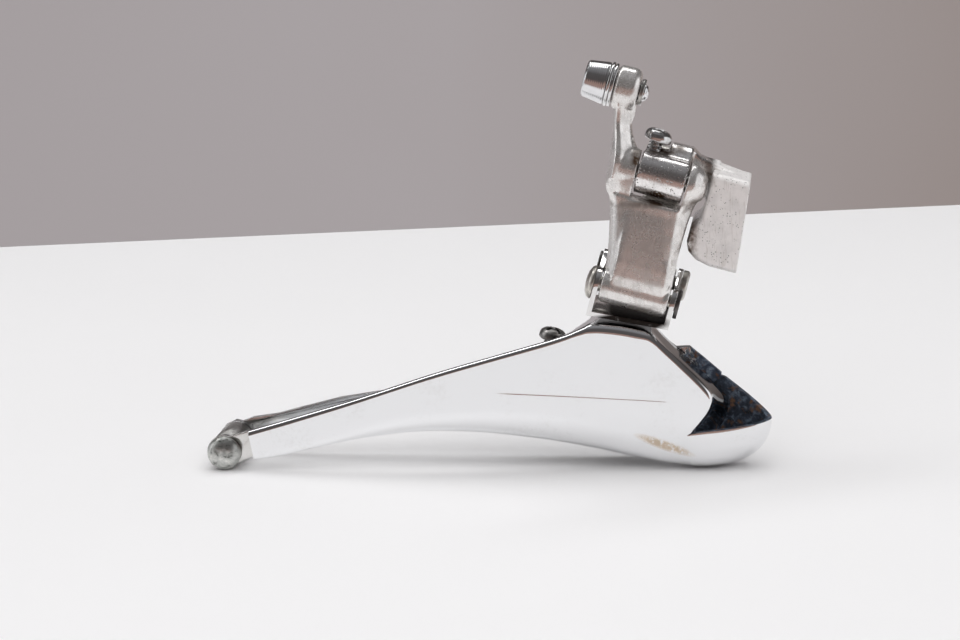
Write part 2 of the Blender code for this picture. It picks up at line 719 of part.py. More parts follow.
def return_spring(surface):
    """Torsion spring round the lower inner pin with a leg on the bracket and a leg on the inner link."""
    centre = inner_low()
    wire = 0.42
    coil = 2.55
    turns = 5
    per_turn = 12
    path = []
    for step in range(turns * per_turn + 1):
        angle = 2.0 * math.pi * step / per_turn - math.radians(20.0)
        along = -2.4 + 6.0 * step / (turns * per_turn)
        arm = Y_AXIS * math.cos(angle) + L_AXIS * math.sin(angle)
        path.append(centre + P_AXIS * along + arm * coil)
    path.insert(0, path[0] - L_AXIS * 3.4)
    path.append(path[-1] - L_AXIS * 2.6)
    rings = []
    side = Vector(P_AXIS)
    for index, point in enumerate(path):
        ahead = path[min(index + 1, len(path) - 1)] - path[max(index - 1, 0)]
        ahead.normalize()
        across = (side - ahead * side.dot(ahead)).normalized()
        up = ahead.cross(across)
        rings.append([point + (across * math.cos(a) + up * math.sin(a)) * wire
                      for a in (math.radians(60.0 * corner) for corner in range(6))])
    return finish(loft("return_spring", rings), centre, surface)


def build():
    clear_scene()
    chrome = metal("chrome_outer_plate", (0.82, 0.83, 0.85), 0.08)
    top = UPPER_OUTER
    cage_outer_plate(chrome)
    cage_inner_plate(metal("chrome_inner_plate", (0.55, 0.56, 0.58), 0.25))
    cage_bracket(metal("chrome_bracket", (0.78, 0.78, 0.8), 0.12))
    mount_body(metal("cast_aluminium_mount", (0.78, 0.76, 0.74), 0.38))
    outer_link(metal("polished_aluminium_link", (0.76, 0.74, 0.72), 0.3))
    inner_link(metal("aluminium_inner_link", (0.66, 0.64, 0.6), 0.42))
    steel = metal("steel_pins", (0.6, 0.6, 0.6), 0.3)
    pin("upper_outer_pin", link_point(0.0, top.y, 0.0), -10.3, 8.4, None, None, top, steel)
    pin("upper_inner_pin", inner_high(), -4.6, 8.2, None, None, top,
        metal("steel_inner_pin", (0.6, 0.6, 0.6), 0.32))
    pin("lower_outer_pin", outer_low(), LEFT_EAR - 0.1, RIGHT_EAR + 0.9, (3.5, 1.7), None, outer_low(),
        metal("steel_lower_outer_pin", (0.66, 0.65, 0.63), 0.25))
    pin("lower_inner_pin", inner_low(), LEFT_EAR - 0.6, RIGHT_EAR + 0.1, None, (3.2, 1.5), outer_low(),
        metal("steel_lower_inner_pin", (0.62, 0.6, 0.57), 0.3))
    start = outer_low() + P_AXIS * (RIGHT_EAR + 0.15)
    clip = ring_solid("lower_outer_clip", start, P_AXIS, 0.9, 1.6, 3.0, 20)
    finish(clip, outer_low(), metal("steel_lower_outer_clip", (0.4, 0.39, 0.38), 0.35))
    start = inner_low() + P_AXIS * (LEFT_EAR - 0.65)
    clip = ring_solid("lower_inner_clip", start, P_AXIS, 0.55, 1.6, 2.7, 20)
    finish(clip, outer_low(), metal("steel_lower_inner_clip", (0.4, 0.39, 0.38), 0.35))
    return_spring(metal("spring_steel", (0.4, 0.38, 0.36), 0.35))
    seat = screw_seat()
    pan_screw("high_limit_screw", seat, screw_axis(), 2.85, 2.4, 1.5, 7.0, 0.8, seat,
              metal("chrome_high_screw", (0.7, 0.7, 0.7), 0.18))
    seat = low_seat()
    pan_screw("low_limit_screw", seat, L_AXIS, 2.85, 2.4, 1.55, 5.0, 0.8, seat,
              metal("chrome_low_screw", (0.62, 0.61, 0.6), 0.24))
    cable_bolt(metal("chrome_cable_bolt", (0.72, 0.72, 0.73), 0.12))
    anchor = link_point(0.0, BOSS_Y, BOSS_L)
    washer = ring_solid("cable_washer", anchor + P_AXIS * -15.68, P_AXIS, 0.62, 2.0, 4.55)
    finish(washer, anchor, metal("chrome_cable_washer", (0.74, 0.74, 0.74), 0.14))
    plate = ring_solid("cable_clamp_washer", anchor + P_AXIS * -14.95, P_AXIS, 0.62, 2.0, 4.45)
    finish(plate, anchor, metal("chrome_clamp_washer", (0.74, 0.74, 0.74), 0.14))
    nut = ring_solid("cable_bolt_nut", anchor + P_AXIS * -9.0, P_AXIS, 0.8, 2.0, 2.7, 20)
    finish(nut, anchor, metal("steel_bolt_nut", (0.55, 0.54, 0.52), 0.3))
    screw = lathe("tail_screw", (0.0, 0.0, TAIL_Z), (0, 1, 0), [
        (-2.1, 0.0), (-2.0, 1.4), (-1.5, 2.6), (-0.6, 3.4), (0.0, TAIL_RADIUS), (0.8, TAIL_RADIUS),
        (0.8, 1.5), (15.6, 1.5), (15.9, 1.1), (15.9, 0.0)])
    finish(screw, outer_low(), metal("zinc_tail_screw", (0.5, 0.5, 0.48), 0.4))
    sleeve = ring_solid("tail_sleeve", (0.0, 2.5, TAIL_Z), (0, 1, 0), 9.5, 1.8, 3.5)
    finish(sleeve, outer_low(), metal("steel_tail_sleeve", (0.62, 0.61, 0.59), 0.3))
    nut = ring_solid("tail_nut", (0.0, CAGE_WIDTH + 0.3, TAIL_Z), (0, 1, 0), 1.8, 1.75, 3.3, 6)
    finish(nut, outer_low(), metal("zinc_tail_nut", (0.48, 0.48, 0.46), 0.4))


build()
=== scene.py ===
import json
import math

import bmesh
import bpy
from mathutils import Matrix, Vector


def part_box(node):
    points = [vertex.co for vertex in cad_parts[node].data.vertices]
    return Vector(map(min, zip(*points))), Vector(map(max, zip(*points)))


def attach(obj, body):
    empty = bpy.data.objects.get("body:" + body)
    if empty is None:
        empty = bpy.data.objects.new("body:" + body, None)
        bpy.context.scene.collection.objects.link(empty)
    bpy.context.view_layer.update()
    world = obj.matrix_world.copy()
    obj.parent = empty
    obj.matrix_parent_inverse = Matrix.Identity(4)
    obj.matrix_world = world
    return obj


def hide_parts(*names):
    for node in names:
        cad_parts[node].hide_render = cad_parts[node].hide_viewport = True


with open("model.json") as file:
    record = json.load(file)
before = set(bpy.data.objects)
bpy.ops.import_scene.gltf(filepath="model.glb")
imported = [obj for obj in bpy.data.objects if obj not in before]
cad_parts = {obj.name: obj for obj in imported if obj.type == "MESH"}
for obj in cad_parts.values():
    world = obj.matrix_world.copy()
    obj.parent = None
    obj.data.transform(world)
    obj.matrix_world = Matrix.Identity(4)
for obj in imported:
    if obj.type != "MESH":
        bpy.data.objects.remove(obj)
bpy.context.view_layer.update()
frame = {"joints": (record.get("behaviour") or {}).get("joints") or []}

# Looks of the front derailleur: smooth pressed chrome, soft castings, turned fittings, their wear and some
# painted shade.
#
# Part lengths are in millimetres, in two frames taken from the imported model. The tail frame has x towards the
# front, y inboard from the outer face of the cage and z up from the table. The link frame has p along the
# pivots, y as above and l along the links, from the upper outer pivot. The stage and the lights are laid out
# in metres round a point of the tail frame.

MM = 0.001

JOINTS = {joint["name"]: joint for joint in frame["joints"]}
TAIL_LOW, TAIL_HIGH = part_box("tail_screw")
SCREW_DOME = 2.1
TAIL = Vector(((TAIL_LOW.x + TAIL_HIGH.x) / 2, TAIL_LOW.y + SCREW_DOME * MM, TAIL_LOW.z - 0.05 * MM))

P_AXIS = -Vector(JOINTS["outer_link_swing"]["axis"])
Y_AXIS = Vector((0.0, 1.0, 0.0))
L_AXIS = Y_AXIS.cross(-P_AXIS)
UPPER_OUTER = Vector(JOINTS["outer_link_swing"]["pos_m"])


def tail_place(joint):
    """A joint's (x, y, z) in the tail frame, rounded to 0.01 mm."""
    return [round(part / MM, 2) for part in Vector(JOINTS[joint]["pos_m"]) - TAIL]


def link_place(joint):
    """A joint's (p, y, l) in the link frame, rounded to 0.01 mm."""
    offset = (Vector(JOINTS[joint]["pos_m"]) - UPPER_OUTER) / MM
    return [round(offset.dot(P_AXIS), 2), tail_place(joint)[1], round(offset.dot(L_AXIS), 2)]


# Pivots and the anchor bolt as (y, l) in the link frame.
OUTER_TOP = link_place("outer_link_swing")[1:]
INNER_TOP = link_place("inner_link_swing")[1:]
OUTER_LOW = link_place("cage_level")[1:]
INNER_LOW = [INNER_TOP[part] + OUTER_LOW[part] - OUTER_TOP[part] for part in (0, 1)]
ANCHOR = link_place("anchor_bolt_turn")[1:]
HIGH_SCREW = link_place("high_limit_turn")
LOW_SCREW = tail_place("low_limit_turn")

# Cage, in the tail frame.
SHEET = 1.1
CAGE_WIDTH = 13.4
KEEL_Y = 6.7
KEEL_X = 98.2
KEEL_Z = 0.25
TAIL_Z = 3.65
TAIL_HALF_LENGTH = 3.9
TAIL_HALF_HEIGHT = 3.45
STEP_WIDTH = 0.28
STEP_DEPTH = 0.04
NOSE_X = 100.6
NOSE_LENGTH = 13.8
NOSE_HALF_WIDTH = 6.65
TIP_Z = 10.3

# Pins, holes and eyes.
PIN_RADIUS = 1.5
PIN_HOLE = 1.85
TAIL_HOLE = 1.75
BRACKET_HOLE = 1.75
BOLT_HOLE = 2.1
EYE_RADIUS = 2.9

# Frame block, in the link frame.
FACE_TOP_P = 17.2
FACE_BOTTOM_P = 19.3
BLOCK_TOP = 3.8
BLOCK_BOTTOM = -15.2

# Metres from the outer face of the cage to the near edge of the table.
TABLE_FRONT = 0.145


def spot(x, y, z):
    """Scene position of a point in the tail frame."""
    return TAIL + Vector((x, y, z)) * MM


def link_spot(p, y, l):
    """Scene position of a point in the link frame; y counts from the outer face of the cage."""
    found = UPPER_OUTER + (P_AXIS * p + L_AXIS * l) * MM
    found.y = TAIL.y + y * MM
    return found


def smooth_step(low, high, value):
    share = min(max((value - low) / (high - low), 0.0), 1.0)
    return share * share * (3.0 - 2.0 * share)


# ---------------------------------------------------------------- mesh tools

def new_object(name, data):
    made = bpy.data.objects.new(name, data)
    bpy.context.scene.collection.objects.link(made)
    return made


def mesh_object(name, points, faces, angle=None):
    """Mesh from scene positions; angle in degrees keeps sharper edges crisp."""
    mesh = bpy.data.meshes.new(name)
    mesh.from_pydata([tuple(point) for point in points], [], faces)
    bm = bmesh.new()
    bm.from_mesh(mesh)
    bmesh.ops.remove_doubles(bm, verts=bm.verts, dist=0.000004)
    bmesh.ops.recalc_face_normals(bm, faces=bm.faces)
    bm.to_mesh(mesh)
    bm.free()
    mesh.shade_smooth()
    if angle:
        mesh.set_sharp_from_angle(angle=math.radians(angle))
    return new_object(name, mesh)


def open_grid(name, rows, angle=None):
    """Surface through rows of points, open at its edges."""
    points = [point for row in rows for point in row]
    width = len(rows[0])
    faces = []
    for row in range(len(rows) - 1):
        for index in range(width - 1):
            low = row * width + index
            faces.append([low, low + 1, low + width + 1, low + width])
    return mesh_object(name, points, faces, angle)


def closed_loft(name, rings, angle=None):
    """Skin over closed rings with flat ends."""
    count = len(rings[0])
    points = [point for ring in rings for point in ring]
    faces = [list(range(count)), [(len(rings) - 1) * count + index for index in range(count)]]
    for row in range(len(rings) - 1):
        for index in range(count):
            after = (index + 1) % count
            low = row * count
            faces.append([low + index, low + after, low + count + after, low + count + index])
    return mesh_object(name, points, faces, angle)


def arc_points(centre_y, centre_l, radius, start, end, steps):
    found = []
    for step in range(steps + 1):
        turn = math.radians(start + (end - start) * step / steps)
        found.append((centre_y + radius * math.cos(turn), centre_l + radius * math.sin(turn)))
    return found


def side_axes(axis):
    side = axis.orthogonal().normalized()
    return side, axis.cross(side)


def round_arm(sides, turn):
    """Unit vector at an angle round an axis, from its two side axes."""
    return sides[0] * math.cos(turn) + sides[1] * math.sin(turn)


def lathe(name, start, axis, profile, segments=96, angle=40.0):
    """Solid of revolution; profile holds (distance along axis, radius) in millimetres."""
    axis = Vector(axis).normalized()
    sides = side_axes(axis)
    points = []
    rings = []
    for along, radius in profile:
        centre = start + axis * along * MM
        if radius <= 0.0:
            points.append(centre)
            rings.append([len(points) - 1])
            continue
        ring = []
        for step in range(segments):
            turn = 2.0 * math.pi * step / segments
            points.append(centre + round_arm(sides, turn) * radius * MM)
            ring.append(len(points) - 1)
        rings.append(ring)
    faces = []
    for low, high in zip(rings, rings[1:]):
        for step in range(segments):
            after = (step + 1) % segments
            if len(low) == 1:
                faces.append([low[0], high[step], high[after]])
            elif len(high) == 1:
                faces.append([low[step], low[after], high[0]])
            else:
                faces.append([low[step], low[after], high[after], high[step]])
    return mesh_object(name, points, faces, angle)


def rounded(profile, radius, steps=5):
    """Profile with each of its inner corners turned into a small arc-like blend."""
    found = [profile[0]]
    for before, corner, after in zip(profile, profile[1:], profile[2:]):
        back = Vector(before) - Vector(corner)
        ahead = Vector(after) - Vector(corner)
        reach = min(radius, back.length * 0.45, ahead.length * 0.45)
        start = Vector(corner) + back.normalized() * reach
        end = Vector(corner) + ahead.normalized() * reach
        for step in range(steps + 1):
            share = step / steps
            first = start.lerp(Vector(corner), share)
            second = Vector(corner).lerp(end, share)
            found.append(tuple(first.lerp(second, share)))
    found.append(profile[-1])
    return found


def modifier(piece, kind, **values):
    made = piece.modifiers.new(kind.lower(), kind)
    for key, value in values.items():
        setattr(made, key, value)
    return made


def bake(piece):
    """Swap the mesh for the result of its modifiers."""
    bpy.context.view_layer.update()
    graph = bpy.context.evaluated_depsgraph_get()
    mesh = bpy.data.meshes.new_from_object(piece.evaluated_get(graph))
    piece.modifiers.clear()
    piece.data = mesh
    return piece


def combine(piece, other, operation):
    """Boolean of a piece with another solid, which is used up."""
    modifier(piece, "BOOLEAN", operation=operation, solver="EXACT", object=other)
    bake(piece)
    bpy.data.objects.remove(other)


def smooth_except(piece, degrees):
    """Smooth shading, except across edges sharper than an angle."""
    piece.data.shade_smooth()
    piece.data.set_sharp_from_angle(angle=math.radians(degrees))


def ease_edges(piece, width, segments, bent, sharp):
    """Rounds the edges bent more than one angle and keeps shading crisp past another, both in degrees."""
    modifier(piece, "BEVEL", width=width * MM, segments=segments, limit_method="ANGLE",
             angle_limit=math.radians(bent))
    bake(piece)
    smooth_except(piece, sharp)


def join_shapes(name, shapes):
    """One mesh holding every shape, as they stand."""
    bm = bmesh.new()
    for shape in shapes:
        bm.from_mesh(shape.data)
        bpy.data.objects.remove(shape)
    mesh = bpy.data.meshes.new(name)
    bm.to_mesh(mesh)
    bm.free()
    return new_object(name, mesh)


def cast(name, shapes, voxel, rounds, cutters=()):
    """Shapes melted into one casting with soft joins, then cut by crisp cutters."""
    made = join_shapes(name, shapes)
    modifier(made, "REMESH", mode="VOXEL", voxel_size=voxel * MM, use_smooth_shade=True)
    modifier(made, "SMOOTH", factor=0.5, iterations=rounds)
    bake(made)
    for cutter in cutters:
        combine(made, cutter, "DIFFERENCE")
    smooth_except(made, 38.0)
    return made


def dress(piece, look, body, slot, *nodes):
    """Material, body and the CAD nodes that the piece stands for; slot is not used."""
    piece.data.materials.clear()
    piece.data.materials.append(look)
    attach(piece, body)
    if nodes:
        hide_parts(*nodes)
    return piece


# ---------------------------------------------------------------- materials

def colour_ramp(tree, value, stops):
    """Colour ramp node fed by a value; stops are (place, colour)."""
    ramp = tree.nodes.new("ShaderNodeValToRGB")
    tree.links.new(value, ramp.inputs["Fac"])
    elements = ramp.color_ramp.elements
    while len(elements) < len(stops):
        elements.new(0.5)
    for element, (place, colour) in zip(elements, stops):
        element.position = place
        element.color = (*colour, 1.0)
    return ramp.outputs["Color"]


class Look:
    """Small helper that builds a surface out of nodes; a metal unless told otherwise."""

    def __init__(self, name, metallic=1.0):
        self.material = bpy.data.materials.new(name)
        self.material.use_nodes = True
        self.tree = self.material.node_tree
        self.shader = self.tree.nodes["Principled BSDF"]
        self.shader.inputs["Metallic"].default_value = metallic
        coords = self.tree.nodes.new("ShaderNodeTexCoord")
        self.place = coords.outputs["Object"]
        self.bump = None

    def node(self, kind, inputs=(), **values):
        made = self.tree.nodes.new(kind)
        for key, value in values.items():
            setattr(made, key, value)
        for key, value in dict(inputs).items():
            self.feed(made.inputs[key], value)
        return made

    def feed(self, socket, value):
        if isinstance(value, bpy.types.NodeSocket):
            self.tree.links.new(value, socket)
        else:
            socket.default_value = value

    def stretched(self, scale, turn=(0.0, 0.0, 0.0)):
        made = self.node("ShaderNodeMapping", {"Vector": self.place, "Scale": scale, "Rotation": turn})
        return made.outputs["Vector"]

    def noise(self, size, detail=4.0, rough=0.55, vector=None, twist=0.0):
        """Noise whose features are about size millimetres wide."""
        made = self.node("ShaderNodeTexNoise", {
            "Vector": vector or self.place, "Scale": 1.0 / (size * MM), "Detail": detail,
            "Roughness": rough, "Distortion": twist,
        })
        return made.outputs["Fac"]

    def grey(self, value, low, high, at_low=0.0, at_high=1.0):
        """Value mapped from low..high to at_low..at_high, clamped."""
        made = self.node("ShaderNodeMapRange", {
            "Value": value, "From Min": low, "From Max": high, "To Min": at_low, "To Max": at_high,
        }, clamp=True)
        return made.outputs["Result"]

    def maths(self, operation, first, second=0.0):
        made = self.node("ShaderNodeMath", operation=operation)
        self.feed(made.inputs[0], first)
        self.feed(made.inputs[1], second)
        return made.outputs["Value"]

    def times(self, first, second):
        return self.maths("MULTIPLY", first, second)

    def plus(self, value, mask, share):
        """Value with a share of a mask added."""
        return self.maths("ADD", value, self.times(mask, share))

    def mix(self, share, first, second):
        made = self.node("ShaderNodeMix", data_type="RGBA")
        self.feed(made.inputs["Factor"], share)
        self.feed(made.inputs[6], first if isinstance(first, bpy.types.NodeSocket) else (*first, 1.0))
        self.feed(made.inputs[7], second if isinstance(second, bpy.types.NodeSocket) else (*second, 1.0))
        return made.outputs[2]

    def pits(self, size, amount, depth=0.3):
        """Mask of small scattered pits, 1 inside a pit."""
        cells = self.node("ShaderNodeTexVoronoi", {"Vector": self.place, "Scale": 1.0 / (size * MM)})
        inside = self.grey(cells.outputs["Distance"], 0.0, depth, 1.0, 0.0)
        keep = self.grey(self.noise(size * 2.6, 2.0), 1.0 - amount, 1.0 - amount + 0.04)
        return self.times(inside, keep)

    def axis_part(self, axis):
        """How far along a unit axis, in metres."""
        made = self.node("ShaderNodeVectorMath", {0: self.place, 1: axis}, operation="DOT_PRODUCT")
        return made.outputs["Value"]

    def spotlight(self, centre, radii, turn=(0.0, 0.0, 0.0), edge=0.35):
        """Mask of a soft ellipsoid patch, radii in millimetres."""
        moved = self.node("ShaderNodeVectorMath", {0: self.place, 1: centre}, operation="SUBTRACT")
        turned = self.node("ShaderNodeVectorRotate", {"Vector": moved.outputs["Vector"], "Rotation": turn},
                           rotation_type="EULER_XYZ")
        scaled = self.node("ShaderNodeVectorMath", {
            0: turned.outputs["Vector"], 1: tuple(1.0 / (radius * MM) for radius in radii),
        }, operation="MULTIPLY")
        length = self.node("ShaderNodeVectorMath", {0: scaled.outputs["Vector"]}, operation="LENGTH")
        return self.grey(length.outputs["Value"], 1.0 - edge, 1.0 + edge, 1.0, 0.0)

    def raise_by(self, height, distance):
        """Adds a bump of height times distance millimetres."""
        inputs = {"Height": height, "Distance": distance * MM}
        if self.bump:
            inputs["Normal"] = self.bump
        self.bump = self.node("ShaderNodeBump", inputs).outputs["Normal"]

    def done(self, colour, roughness):
        self.feed(self.shader.inputs["Base Color"],
                  colour if isinstance(colour, bpy.types.NodeSocket) else (*colour, 1.0))
        self.feed(self.shader.inputs["Roughness"], roughness)
        if self.bump:
            self.feed(self.shader.inputs["Normal"], self.bump)
        return self.material


def mirror_chrome(name, tint, grime, haze, shade_patch_at=None):
    """Bright chrome: hairline scratches, faint haze, scattered dark pinholes, maybe one near-black patch of
    painted shade.
    """
    look = Look(name)
    cloud = look.noise(9.0, 5.0, 0.6)
    fine = look.noise(0.9, 6.0, 0.7)
    scratch = look.noise(0.5, 2.0, 0.5, look.stretched((0.08, 1.0, 1.0), (0.0, 0.35, 0.0)))
    lines = look.grey(scratch, 0.66, 0.7)
    pinholes = look.pits(0.9, 0.34 * grime, 0.22)
    haze_spots = look.grey(look.times(cloud, fine), 0.3, 0.42)
    dirty = look.times(haze_spots, grime)
    colour = look.mix(dirty, tint, (0.62, 0.61, 0.6))
    colour = look.mix(pinholes, colour, (0.09, 0.075, 0.06))
    rough = look.plus(look.grey(cloud, 0.35, 0.75, haze, haze + 0.07), lines, 0.05)
    rough = look.plus(rough, pinholes, 0.5)
    # Near-black patch of painted shade at a given place, such as the gap under a barrel.
    if shade_patch_at:
        centre, radii = shade_patch_at
        painted_shade_patch = look.times(look.spotlight(centre, radii, edge=0.12), look.grey(fine, 0.2, 0.42, 0.7, 1.0))
        colour = look.mix(painted_shade_patch, colour, (0.02, 0.016, 0.014))
        rough = look.plus(rough, painted_shade_patch, 0.3)
    look.raise_by(look.noise(7.0, 1.0), 0.012)
    look.raise_by(pinholes, -0.05)
    return look.done(colour, rough)


def outer_plate_chrome():
    """Chrome of the outer plate: tan wear patch on its belly, painted dark reflection and shade over its
    flange, a few dark marks.
    """
    look = Look("outer_plate_chrome")
    cloud = look.noise(11.0, 5.0, 0.6)
    fine = look.noise(0.8, 6.0, 0.7)
    scratch = look.noise(0.45, 2.0, 0.5, look.stretched((0.07, 1.0, 1.0), (0.0, 0.32, 0.0)))
    lines = look.grey(scratch, 0.67, 0.71)
    pinholes = look.pits(1.1, 0.1, 0.2)
    dust = look.grey(look.times(cloud, fine), 0.29, 0.4)
    patch = look.times(look.spotlight(spot(92.6, 1.4, 6.1), (5.6, 3.0, 1.0), (0.0, -0.36, 0.0), 0.3),
                       look.grey(fine, 0.36, 0.5))
    colour = look.mix(look.times(dust, 0.22), (0.87, 0.875, 0.885), (0.66, 0.65, 0.64))
    colour = look.mix(look.times(patch, 0.8), colour, (0.62, 0.48, 0.33))
    colour = look.mix(pinholes, colour, (0.08, 0.065, 0.05))
    # Painted dark reflection and shade: the flange is made near-black.
    flange_painted_shade = look.spotlight(spot(98.0, 6.0, 20.5), (12.0, 5.3, 13.0), edge=0.12)
    colour = look.mix(look.times(flange_painted_shade, 0.85), colour, (0.05, 0.055, 0.06))
    rough = look.plus(look.grey(cloud, 0.35, 0.75, 0.05, 0.1), lines, 0.05)
    rough = look.plus(rough, patch, 0.42)
    rough = look.plus(rough, pinholes, 0.5)
    look.raise_by(look.noise(8.0, 1.0), 0.012)
    look.raise_by(pinholes, -0.05)
    return look.done(colour, rough)


def inner_plate_chrome():
    """Chrome of the inner plate, crusted with oily road dirt towards the nose."""
    look = Look("inner_plate_chrome")
    coarse = look.noise(1.6, 7.0, 0.66, twist=0.4)
    fine = look.noise(0.45, 6.0, 0.7)
    wide = look.noise(6.0, 3.0, 0.5)
    nose = look.spotlight(spot(108.5, 11.5, 12.0), (16.0, 7.0, 14.0), edge=0.25)
    reach = look.maths("ADD", nose, look.times(look.grey(wide, 0.4, 0.6, -1.0, 1.0), 0.18))
    crust = look.grey(look.maths("ADD", reach, look.grey(coarse, 0.3, 0.7, -0.35, 0.35)), 0.42, 0.6)
    rust = look.times(look.grey(look.noise(1.7, 5.0, 0.6), 0.56, 0.66), crust)
    dirt = colour_ramp(look.tree, coarse, ((0.3, (0.012, 0.014, 0.02)), (0.48, (0.05, 0.065, 0.1)),
                              (0.6, (0.17, 0.215, 0.28)), (0.72, (0.45, 0.5, 0.56))))
    colour = look.mix(look.grey(wide, 0.35, 0.7, 0.0, 0.4), (0.78, 0.79, 0.8), (0.5, 0.49, 0.48))
    colour = look.mix(crust, colour, dirt)
    colour = look.mix(rust, colour, (0.16, 0.075, 0.035))
    rough = look.grey(crust, 0.0, 1.0, 0.12, 0.46)
    look.feed(look.shader.inputs["Metallic"], look.grey(crust, 0.0, 1.0, 1.0, 0.35))
    look.raise_by(look.times(coarse, crust), 0.35)
    look.raise_by(look.times(fine, crust), 0.15)
    look.raise_by(look.noise(7.0, 1.0), 0.012)
    return look.done(colour, rough)


def cast_aluminium(name, tint, roughness, stain, pit, dark_patches_at=(), shine=1.0, raw_from=None):
    """Hand-polished cast aluminium: mottled, pitted, brown darker patches at given places, maybe left raw at
    one end.
    """
    look = Look(name)
    mottle = look.noise(2.6, 7.0, 0.62)
    fine = look.noise(0.4, 5.0, 0.65)
    streak = look.noise(0.35, 3.0, 0.5, look.stretched((1.0, 1.0, 0.12), (0.0, 0.27, 0.0)))
    pits = look.pits(0.55, pit, 0.3)
    big_pits = look.pits(1.5, pit * 0.7, 0.24)
    holes = look.maths("MAXIMUM", pits, big_pits)
    shade = look.times(look.grey(mottle, 0.42, 0.66), stain)
    colour = look.mix(shade, tint, tuple(part * 0.62 for part in tint))
    colour = look.mix(look.times(look.grey(streak, 0.56, 0.66), 0.25), colour, (0.42, 0.37, 0.33))
    colour = look.mix(holes, colour, (0.05, 0.042, 0.036))
    rough = look.grey(mottle, 0.35, 0.7, *roughness)
    look.feed(look.shader.inputs["Metallic"], shine)
    if raw_from:
        raw = look.grey(look.axis_part(tuple(P_AXIS)), *raw_from)
        rough = look.plus(rough, raw, 0.2)
        look.feed(look.shader.inputs["Metallic"], look.grey(raw, 0.0, 1.0, shine, 0.22))
    # Brown darker patches at given places: on the link they are painted shade in its gaps; on the mount, brown
    # darkening in its corners.
    for centre, radii in dark_patches_at:
        grime = look.times(look.spotlight(centre, radii, edge=0.5), look.grey(mottle, 0.36, 0.56))
        colour = look.mix(grime, colour, (0.11, 0.065, 0.035))
        rough = look.plus(rough, grime, 0.3)
    rough = look.plus(rough, holes, 0.3)
    look.raise_by(look.noise(5.0, 2.0), 0.05)
    look.raise_by(fine, 0.006)
    look.raise_by(holes, -0.09)
    return look.done(colour, rough)


def turned_steel(name, tint, rough, axis, grooves=0.0, stain=0.3, pitch=0.32):
    """Turned or plated steel fitting with faint tool rings round its axis."""
    look = Look(name)
    mottle = look.noise(1.5, 6.0, 0.6)
    fine = look.noise(0.3, 5.0, 0.65)
    pits = look.pits(0.5, 0.22 * stain, 0.28)
    colour = look.mix(look.times(look.grey(mottle, 0.44, 0.62), stain), tint,
                      tuple(part * 0.45 for part in tint))
    colour = look.mix(pits, colour, (0.06, 0.045, 0.035))
    roughness = look.grey(mottle, 0.35, 0.7, rough, rough + 0.14)
    if grooves:
        along = look.times(look.axis_part(axis), 2.0 * math.pi / (pitch * MM))
        look.raise_by(look.maths("SINE", along), grooves)
    look.raise_by(fine, 0.01 * (0.3 + stain))
    return look.done(colour, roughness)


def zinc(name, tint=(0.5, 0.51, 0.49)):
    """Dull zinc plate, worn bright in blotches with dark oxide between."""
    look = Look(name)
    blotch = look.noise(1.7, 7.0, 0.68, twist=0.6)
    fine = look.noise(0.3, 5.0, 0.7)
    worn = look.grey(blotch, 0.5, 0.66)
    dark = look.grey(blotch, 0.46, 0.34)
    colour = look.mix(worn, tint, (0.74, 0.73, 0.7))
    colour = look.mix(dark, colour, (0.1, 0.1, 0.09))
    rough = look.grey(blotch, 0.35, 0.65, 0.5, 0.26)
    look.raise_by(blotch, 0.09)
    look.raise_by(fine, 0.03)
    return look.done(colour, rough)


def nose_crust():
    """Caked oily road dirt on the inside of the nose: blue-black with rust-brown patches."""
    look = Look("nose_crust", 0.35)
    coarse = look.noise(1.3, 7.0, 0.66, twist=0.4)
    fine = look.noise(0.35, 6.0, 0.7)
    rust = look.grey(look.noise(1.7, 4.0, 0.6), 0.56, 0.66)
    colour = colour_ramp(look.tree, coarse, ((0.32, (0.012, 0.013, 0.018)), (0.5, (0.045, 0.058, 0.085)),
                                (0.62, (0.15, 0.19, 0.25)), (0.76, (0.42, 0.47, 0.52))))
    colour = look.mix(rust, colour, (0.2, 0.11, 0.065))
    look.raise_by(coarse, 0.4)
    look.raise_by(fine, 0.15)
    return look.done(colour, look.grey(coarse, 0.3, 0.7, 0.38, 0.55))


def table_look():
    """Pale matt paint with faint clouds and a few specks."""
    colour = (0.9, 0.895, 0.9)
    look = Look("table_paint", 0.0)
    cloud = look.noise(60.0, 3.0, 0.5)
    fine = look.noise(1.2, 4.0, 0.6)
    shade = look.grey(cloud, 0.35, 0.65, 0.0, 0.06)
    tint = look.mix(shade, colour, tuple(part * 0.9 for part in colour))
    tint = look.mix(look.pits(1.0, 0.02, 0.12), tint, (0.3, 0.25, 0.2))
    look.raise_by(fine, 0.02)
    return look.done(tint, 0.55)


def backdrop_look():
    """Warm grey paper wall with a painted glow that stands in for its light, a little darker and browner
    towards the right.
    """
    look = Look("backdrop_paper", 0.0)
    across = look.axis_part((1.0, 0.0, 0.0))
    cloud = look.noise(400.0, 2.0, 0.5)
    shade = look.maths("ADD", look.grey(across, -0.32, 0.2), look.grey(cloud, 0.3, 0.7, -0.08, 0.08))
    # Painted light: the wall glows by itself, brighter at the left and falling off darker and browner to the
    # right.
    painted_glow = look.mix(shade, (0.15, 0.148, 0.158), (0.06, 0.045, 0.035))
    look.feed(look.shader.inputs["Emission Color"], painted_glow)
    look.feed(look.shader.inputs["Emission Strength"], 1.0)
    look.raise_by(look.noise(1.5, 3.0), 0.03)
    return look.done((0.5, 0.5, 0.51), 0.9)


# ---------------------------------------------------------------- cage

def rim_path():
    """Top edge of the outer plate from the tail to the point where the nose begins, as (x, z)."""
    return [
        (5.4, 8.4), (11.6, 10.2), (19.5, 12.6), (26.5, 14.7), (34.1, 17.2), (45.3, 21.0), (59.4, 25.1),
        (71.8, 28.7), (76.0, 30.5), (78.2, 31.6), (84.5, 31.0), (89.4, 29.9), (91.0, 28.7), (92.8, 26.8),
        (96.9, 22.9), (101.2, 18.6), (102.6, 16.6), (102.5, 14.2), (100.6, 11.5), (98.4, 8.9),
    ]


